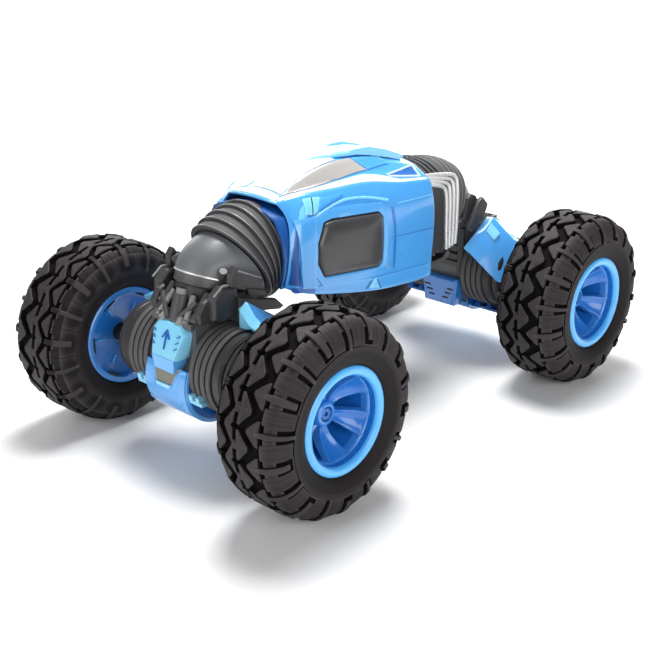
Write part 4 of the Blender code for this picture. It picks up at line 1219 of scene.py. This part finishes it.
# Thin lines on both sides: where drawn, finish, path, radius, number of steps and lift
SEAMS = {
    "window_brow_highlight": ("side", "panel_blue", BROW, 0.75, 40, 0.1),
    # Painted shade in the claw's notch
    "claw_notch": ("side", "gap_black", [(58.8, 123.8), (55.5, 130.8)], 0.5, 8, 1.0),
    "side_seam": ("side", "recess_blue", [(7.6, 101.2), (-36.5, 97.6)], 0.2),
    "shoulder_seam": ("side", "panel_blue", [(-5.0, 118.0), (-36.6, 116.4)], 0.2),
    # Painted shade in the skirt's notches
    "skirt_notch_20": ("side", "navy", [(16.6, 80.0), (20.2, 75.6)], 0.45, 8, 0.6),
    "skirt_notch_8": ("side", "navy", [(11.6, 79.4), (8.0, 73.8)], 0.45, 8, 0.6),
    # Painted highlights along the scoop's edges
    "scoop_lip": ("top", "pearl_blue", [(-7.2, 22.0), (-34.4, 17.6)], 0.6, 16, 0.2),
    "scoop_edge": ("top", "pearl_blue", [(-7.6, 23.0), (-32.4, 25.0)], 0.6, 16, 0.2),
    "scoop_back": ("top", "pearl_blue", [(-34.4, 17.6), (-32.4, 25.0)], 0.6, 16, 0.2),
}


def make_trim(name, side, drape):
    """One side's panels and lines, from the two tables."""
    views = {"side": drape.side, "top": drape.top}
    for label, (view, finish, edge_a, edge_b, *sizes) in PANELS.items():
        make(f"{name}_{label}", panel(views[view], edge_a, edge_b, side, *sizes), finish)
    for label, (view, finish, path, *sizes) in SEAMS.items():
        make(f"{name}_{label}", seam(views[view], path, side, *sizes), finish)


def make_roof(drape):
    """Windscreen, the panel in front of it, and the twin roof blades with their arrow."""
    screen = [(63.2, 11.6), (55, 10.4), (47, 9.2), (31.8, 9.2), (20, 9.0)]
    screen_panel = panel(drape.top, screen, [(x, -y) for x, y in screen], 1, 0.6, 24, 20)
    make("windscreen_panel", screen_panel, "windscreen", replaces=("windshield",))
    # Painted highlight: the top of the hood in near-white blue
    hood = [(71.4, 15.6), (68, 15.6), (64.2, 12.2)]
    make("hood_panel", panel(drape.top, hood, [(x, -y) for x, y in hood], 1, 0.45, 10, 16), "pearl_blue")
    stations = ((13, 8.6, 143.6, 144.6, 0.25), (4, 9.2, 143.4, 145.5, 0.6), (-6, 9.8, 141.6, 145.3, 0.8),
                (-20, 10.6, 138.2, 141.6, 0.8), (-32, 11.2, 134.8, 137.0, 0.5))
    for name, side in SIDES.items():
        rings = []
        for x, y, foot, top, half in stations:
            outline = [(-half, foot - 1), (-half * 0.7, top), (half * 0.7, top), (half, foot - 1)]
            rings.append([(x, side * (y + dy), z) for dy, z in outline])
        make(f"{name}_roof_ear", skin(rings), "badge_cyan", "chassis", 40, bevel=0.15)
    plan = [(31.5, 0.0, 142.8), (22, 5.6, 144.2), (12, 9.4, 144.6), (-6, 10.0, 143.0), (-20, 10.8, 139.9),
            (-34, 11.6, 136.0)]
    rim = plan + mirrored(plan[:0:-1], -1)
    under = [(x, y, z - 1.6) for x, y, z in rim]
    crown = [(x, y * 0.86, z + 0.5) for x, y, z in rim]
    make("roof_arrow", skin([under, rim, crown]), "badge_cyan", "chassis", 30, ("roof_fin",), bevel=0.2)
    # Painted highlight: the arrow's top face in near-white blue
    pale = skin([[(x - 0.6, y * 0.8, z + lift) for x, y, z in rim] for lift in (0.2, 0.75)])
    make("roof_arrow_top", pale, "pearl_blue", "chassis", 30, bevel=0.1)


# The dark band behind the cabin: x, then the left half of its section
COWL = [(-37.0, [(26.6, 76), (28.2, 90), (28.4, 106), (24.6, 119.4), (16, 126.4), (8, 129.4), (0, 130.2)]),
        (-48, [(26.0, 78), (27.2, 90), (27.4, 106), (23.6, 119), (15.4, 126), (7.8, 128.8), (0, 129.6)]),
        (-59.4, [(25.0, 80), (26.0, 90), (26.2, 106), (22.6, 118.4), (14.6, 125.2), (7.5, 128.0),
                 (0, 128.8)])]


def make_rear():
    """The dark band behind the cabin and the nested pipes on each side of it."""
    rings = []
    for x, half in COWL:
        outer = both_sides(half)
        inner = [(y * 0.93, 104 + (z - 104) * 0.94) for y, z in reversed(outer)]
        rings.append([(x, y, z) for y, z in outer + inner])
    make("rear_cowl_band", skin(rings), "black_plastic", "chassis", 40, ("rear_cowl",), bevel=0.4)
    ridges = bmesh.new()
    (front_x, front_half), (back_x, back_half) = COWL[0], COWL[-1]
    for x in (-41.5, -45.8, -50.1, -54.4, -58.4):
        share = (x - front_x) / (back_x - front_x)
        half = [(x, y0 + (y1 - y0) * share + 0.3, z0 + (z1 - z0) * share + 0.2)
                for (y0, z0), (y1, z1) in zip(front_half, back_half)]
        tube(ridges, smooth_path(half + mirrored(half[-2::-1], -1), 5), 0.8, 10)
    make("rear_cowl_ridges", ridges, "elbow_rubber", "chassis", 40)

    plate_outline = [(-38.2, 122), (-47, 119.4), (-50.6, 114), (-52.4, 82), (-38.2, 79)]
    for name, side in SIDES.items():
        pipes, plate = bmesh.new(), bmesh.new()
        for k in range(4):
            out = 3.3 * k
            path = [(-38.4, 28.2 - 1.3 * k, 121.0 + 1.5 * k),
                    (-45.5 - 0.3 * k, 28.8 - 0.9 * k, 119.4 + 1.9 * k),
                    (-50.4 - out, 29.0 - 0.4 * k, 116.8 + 1.9 * k), (-52.2 - out, 29.0, 111.6 + 1.1 * k),
                    (-52.8 - out, 29.0, 103), (-53.8 - 0.95 * out, 28.6, 91),
                    (-55.6 - 0.8 * out, 27.8, 80.0 + 0.5 * k)]
            tube(pipes, smooth_path(mirrored(path, side), 5), 1.12)
        prism(plate, plate_outline, side * 25.5, side * 28.9, 0.5)
        make(f"{name}_pipes", pipes, "silver", "chassis", 40)
        make(f"{name}_pipe_plate", plate, "dark_plastic", "chassis", 40, bevel=0.3)


def cut_out(piece, cuts):
    """Cut a bmesh out of a piece, leaving no modifier on it."""
    cutter = bpy.data.objects.new("cutter", to_mesh("cutter", cuts))
    bpy.context.scene.collection.objects.link(cutter)
    modifier = piece.modifiers.new("openings", "BOOLEAN")
    modifier.operation = "DIFFERENCE"
    modifier.solver = "EXACT"
    modifier.object = cutter
    bpy.context.view_layer.update()
    graph = bpy.context.evaluated_depsgraph_get()
    result = bpy.data.meshes.new_from_object(piece.evaluated_get(graph))
    piece.modifiers.clear()
    piece.data = result
    bpy.data.objects.remove(cutter, do_unlink=True)


def make_floor_pan():
    """The floor pan with the battery opening and the switch slot, and the ribs on the door."""
    stations = [(56, 80.0, 84.6), (50, 79.0, 83.8), (27, 72, 79.0), (0, 72, 74.6), (-25, 72, 72.6),
                (-53, 72, 74.0), (-57, 75, 77.5)]
    rings = []
    for x, bottom, rim in stations:
        outer = both_sides([(29.6, rim), (27.5, (rim + bottom) / 2), (20, bottom)])
        inner = [(y * 0.94, z + 1.7) for y, z in reversed(outer)]
        rings.append([(x, y, z) for y, z in outer + inner])
    pan = make("floor_pan", skin(rings), "dark_plastic", "chassis", 36, ("chassis_tub",))
    low, high = node_mm("battery_door")
    cuts, walls, ribs = bmesh.new(), bmesh.new(), bmesh.new()
    box(cuts, (low.x - 0.4, low.y - 0.4, 60), (high.x + 0.4, high.y + 0.4, 80))
    box(cuts, (-42.5, -2.4, 60), (-33.5, 2.4, 80))
    cut_out(pan, cuts)

    box(walls, (54, -27, 82.4), (56, 27, 90))
    box(walls, (-57, -25, 77), (-55, 25, 81))
    for k in range(7):
        x = low.x + 7 + 6 * k
        box(ribs, (x, low.y + 4, low.z - 0.7), (x + 1.6, high.y - 6, low.z + 0.3))
    rod(ribs, (0, high.y - 3, low.z - 0.8), (0, high.y - 3, low.z + 0.2), 2.0)
    make("pan_end_walls", walls, "dark_plastic", "chassis", 36)
    make("battery_door_ribs", ribs, "dark_plastic", "battery_cover", 36, bevel=0.15)


def make_front_collar():
    """The inner band between the shell and the front elbow, painted dark as shade."""
    section = BODY_ROWS[0][1]
    half = [(y - 1.0, z - (4.0 if z > 126 else 0.6)) for y, z in section[:-1]]
    outline = both_sides(half + [(0, section[-1][1] - 4.0)])
    inner = [(y * 0.94, 106 + (z - 106) * 0.94) for y, z in outline]
    rows = [[(x, y, z) for y, z in ring]
            for x, ring in ((60, outline), (77.4, outline), (77.4, inner), (60, inner))]
    make("front_collar_band", band(rows), "navy", "chassis", 40, bevel=0.2)


def make_body():
    """The chassis body and all that is fixed to it."""
    shell = make_body_skin()
    drape = Drape(shell)
    for name, side in SIDES.items():
        make_window(name, side, drape)
        make_trim(name, side, drape)
    make_front_collar()
    make_roof(drape)
    make_rear()
    make_floor_pan()


# ---------------------------------------------------------------- stage

CAMERA_SPOT = (466.1, 418.9, 284.0)
CAMERA_AIM = (-28.4, -42.7, 21.6)
CAMERA_LENS = 64.87
CAMERA_SENSOR = 36
# Soft lights: spot, aim, size in metres and power
LIGHTS = {
    "top": ((-160, -120, 800), (0, 0, 60), (0.4, 0.4), 10),
    "back": ((-800, -760, 420), (0, 0, 80), (1.6, 0.5), 8),
    "left": ((380, 900, 420), (0, 0, 60), (0.8, 0.6), 5.5),
    "front": ((900, -200, 420), (0, 0, 60), (0.6, 0.6), 2.5),
}


def add_area_light(name, spot, aim, size, power):
    """A soft light at a point, aimed at another; both in millimetres."""
    light = bpy.data.lights.new(name, "AREA")
    light.shape = "RECTANGLE"
    light.size, light.size_y = size
    light.energy = power
    lamp = bpy.data.objects.new(name, light)
    lamp.location = Vector(spot) * MM
    lamp.rotation_euler = (Vector(aim) - Vector(spot)).to_track_quat("-Z", "Y").to_euler()
    bpy.context.scene.collection.objects.link(lamp)


def make_floor():
    """A pale floor that turns plain white well away from the car."""
    bm = bmesh.new()
    bmesh.ops.create_grid(bm, x_segments=1, y_segments=1, size=6)
    mesh = bpy.data.meshes.new("floor")
    bm.to_mesh(mesh)
    bm.free()
    floor = bpy.data.objects.new("floor", mesh)
    bpy.context.scene.collection.objects.link(floor)
    material = bpy.data.materials.new("floor_white")
    material.use_nodes = True
    nodes, links = material.node_tree.nodes, material.node_tree.links
    shader = nodes["Principled BSDF"]
    for key, value in (("Base Color", (0.93, 0.93, 0.93, 1)), ("Roughness", 0.7),
                       ("Emission Color", (1, 1, 1, 1))):
        shader.inputs[key].default_value = value
    reach = nodes.new("ShaderNodeVectorMath")
    reach.operation = "LENGTH"
    links.new(nodes.new("ShaderNodeTexCoord").outputs["Object"], reach.inputs[0])
    fade = add_node(nodes, "ShaderNodeMapRange", From_Min=0.45, From_Max=1.0)
    links.new(reach.outputs["Value"], fade.inputs["Value"])
    links.new(fade.outputs["Result"], shader.inputs["Emission Strength"])
    mesh.materials.append(material)


def make_world():
    """Dim even light from all round, behind a background the camera sees as white."""
    world = bpy.data.worlds.new("studio")
    bpy.context.scene.world = world
    world.use_nodes = True
    nodes, links = world.node_tree.nodes, world.node_tree.links
    background = nodes["Background"]
    background.inputs["Color"].default_value = (1, 1, 1, 1)
    level = add_node(nodes, "ShaderNodeMapRange", To_Min=0.14, To_Max=1.0)
    links.new(nodes.new("ShaderNodeLightPath").outputs["Is Camera Ray"], level.inputs["Value"])
    links.new(level.outputs["Result"], background.inputs["Strength"])


def make_stage():
    """Pale floor, soft light and the camera."""
    make_floor()
    make_world()
    for name, light in LIGHTS.items():
        add_area_light(name, *light)
    camera = bpy.data.cameras.new("camera")
    camera.lens = CAMERA_LENS
    camera.sensor_width = CAMERA_SENSOR
    camera.clip_end = 50
    viewer = bpy.data.objects.new("camera", camera)
    viewer.location = Vector(CAMERA_SPOT) * MM
    look = Vector(CAMERA_AIM) * MM - viewer.location
    viewer.rotation_euler = look.to_track_quat("-Z", "Y").to_euler()
    bpy.context.scene.collection.objects.link(viewer)
    bpy.context.scene.camera = viewer
    bpy.context.scene.view_settings.view_transform = "Standard"


paint_cad_nodes()
make_wheels()
for end_name, end in ENDS.items():
    make_elbow(end_name, end)
    make_module(end_name, end)
make_body()
make_stage()
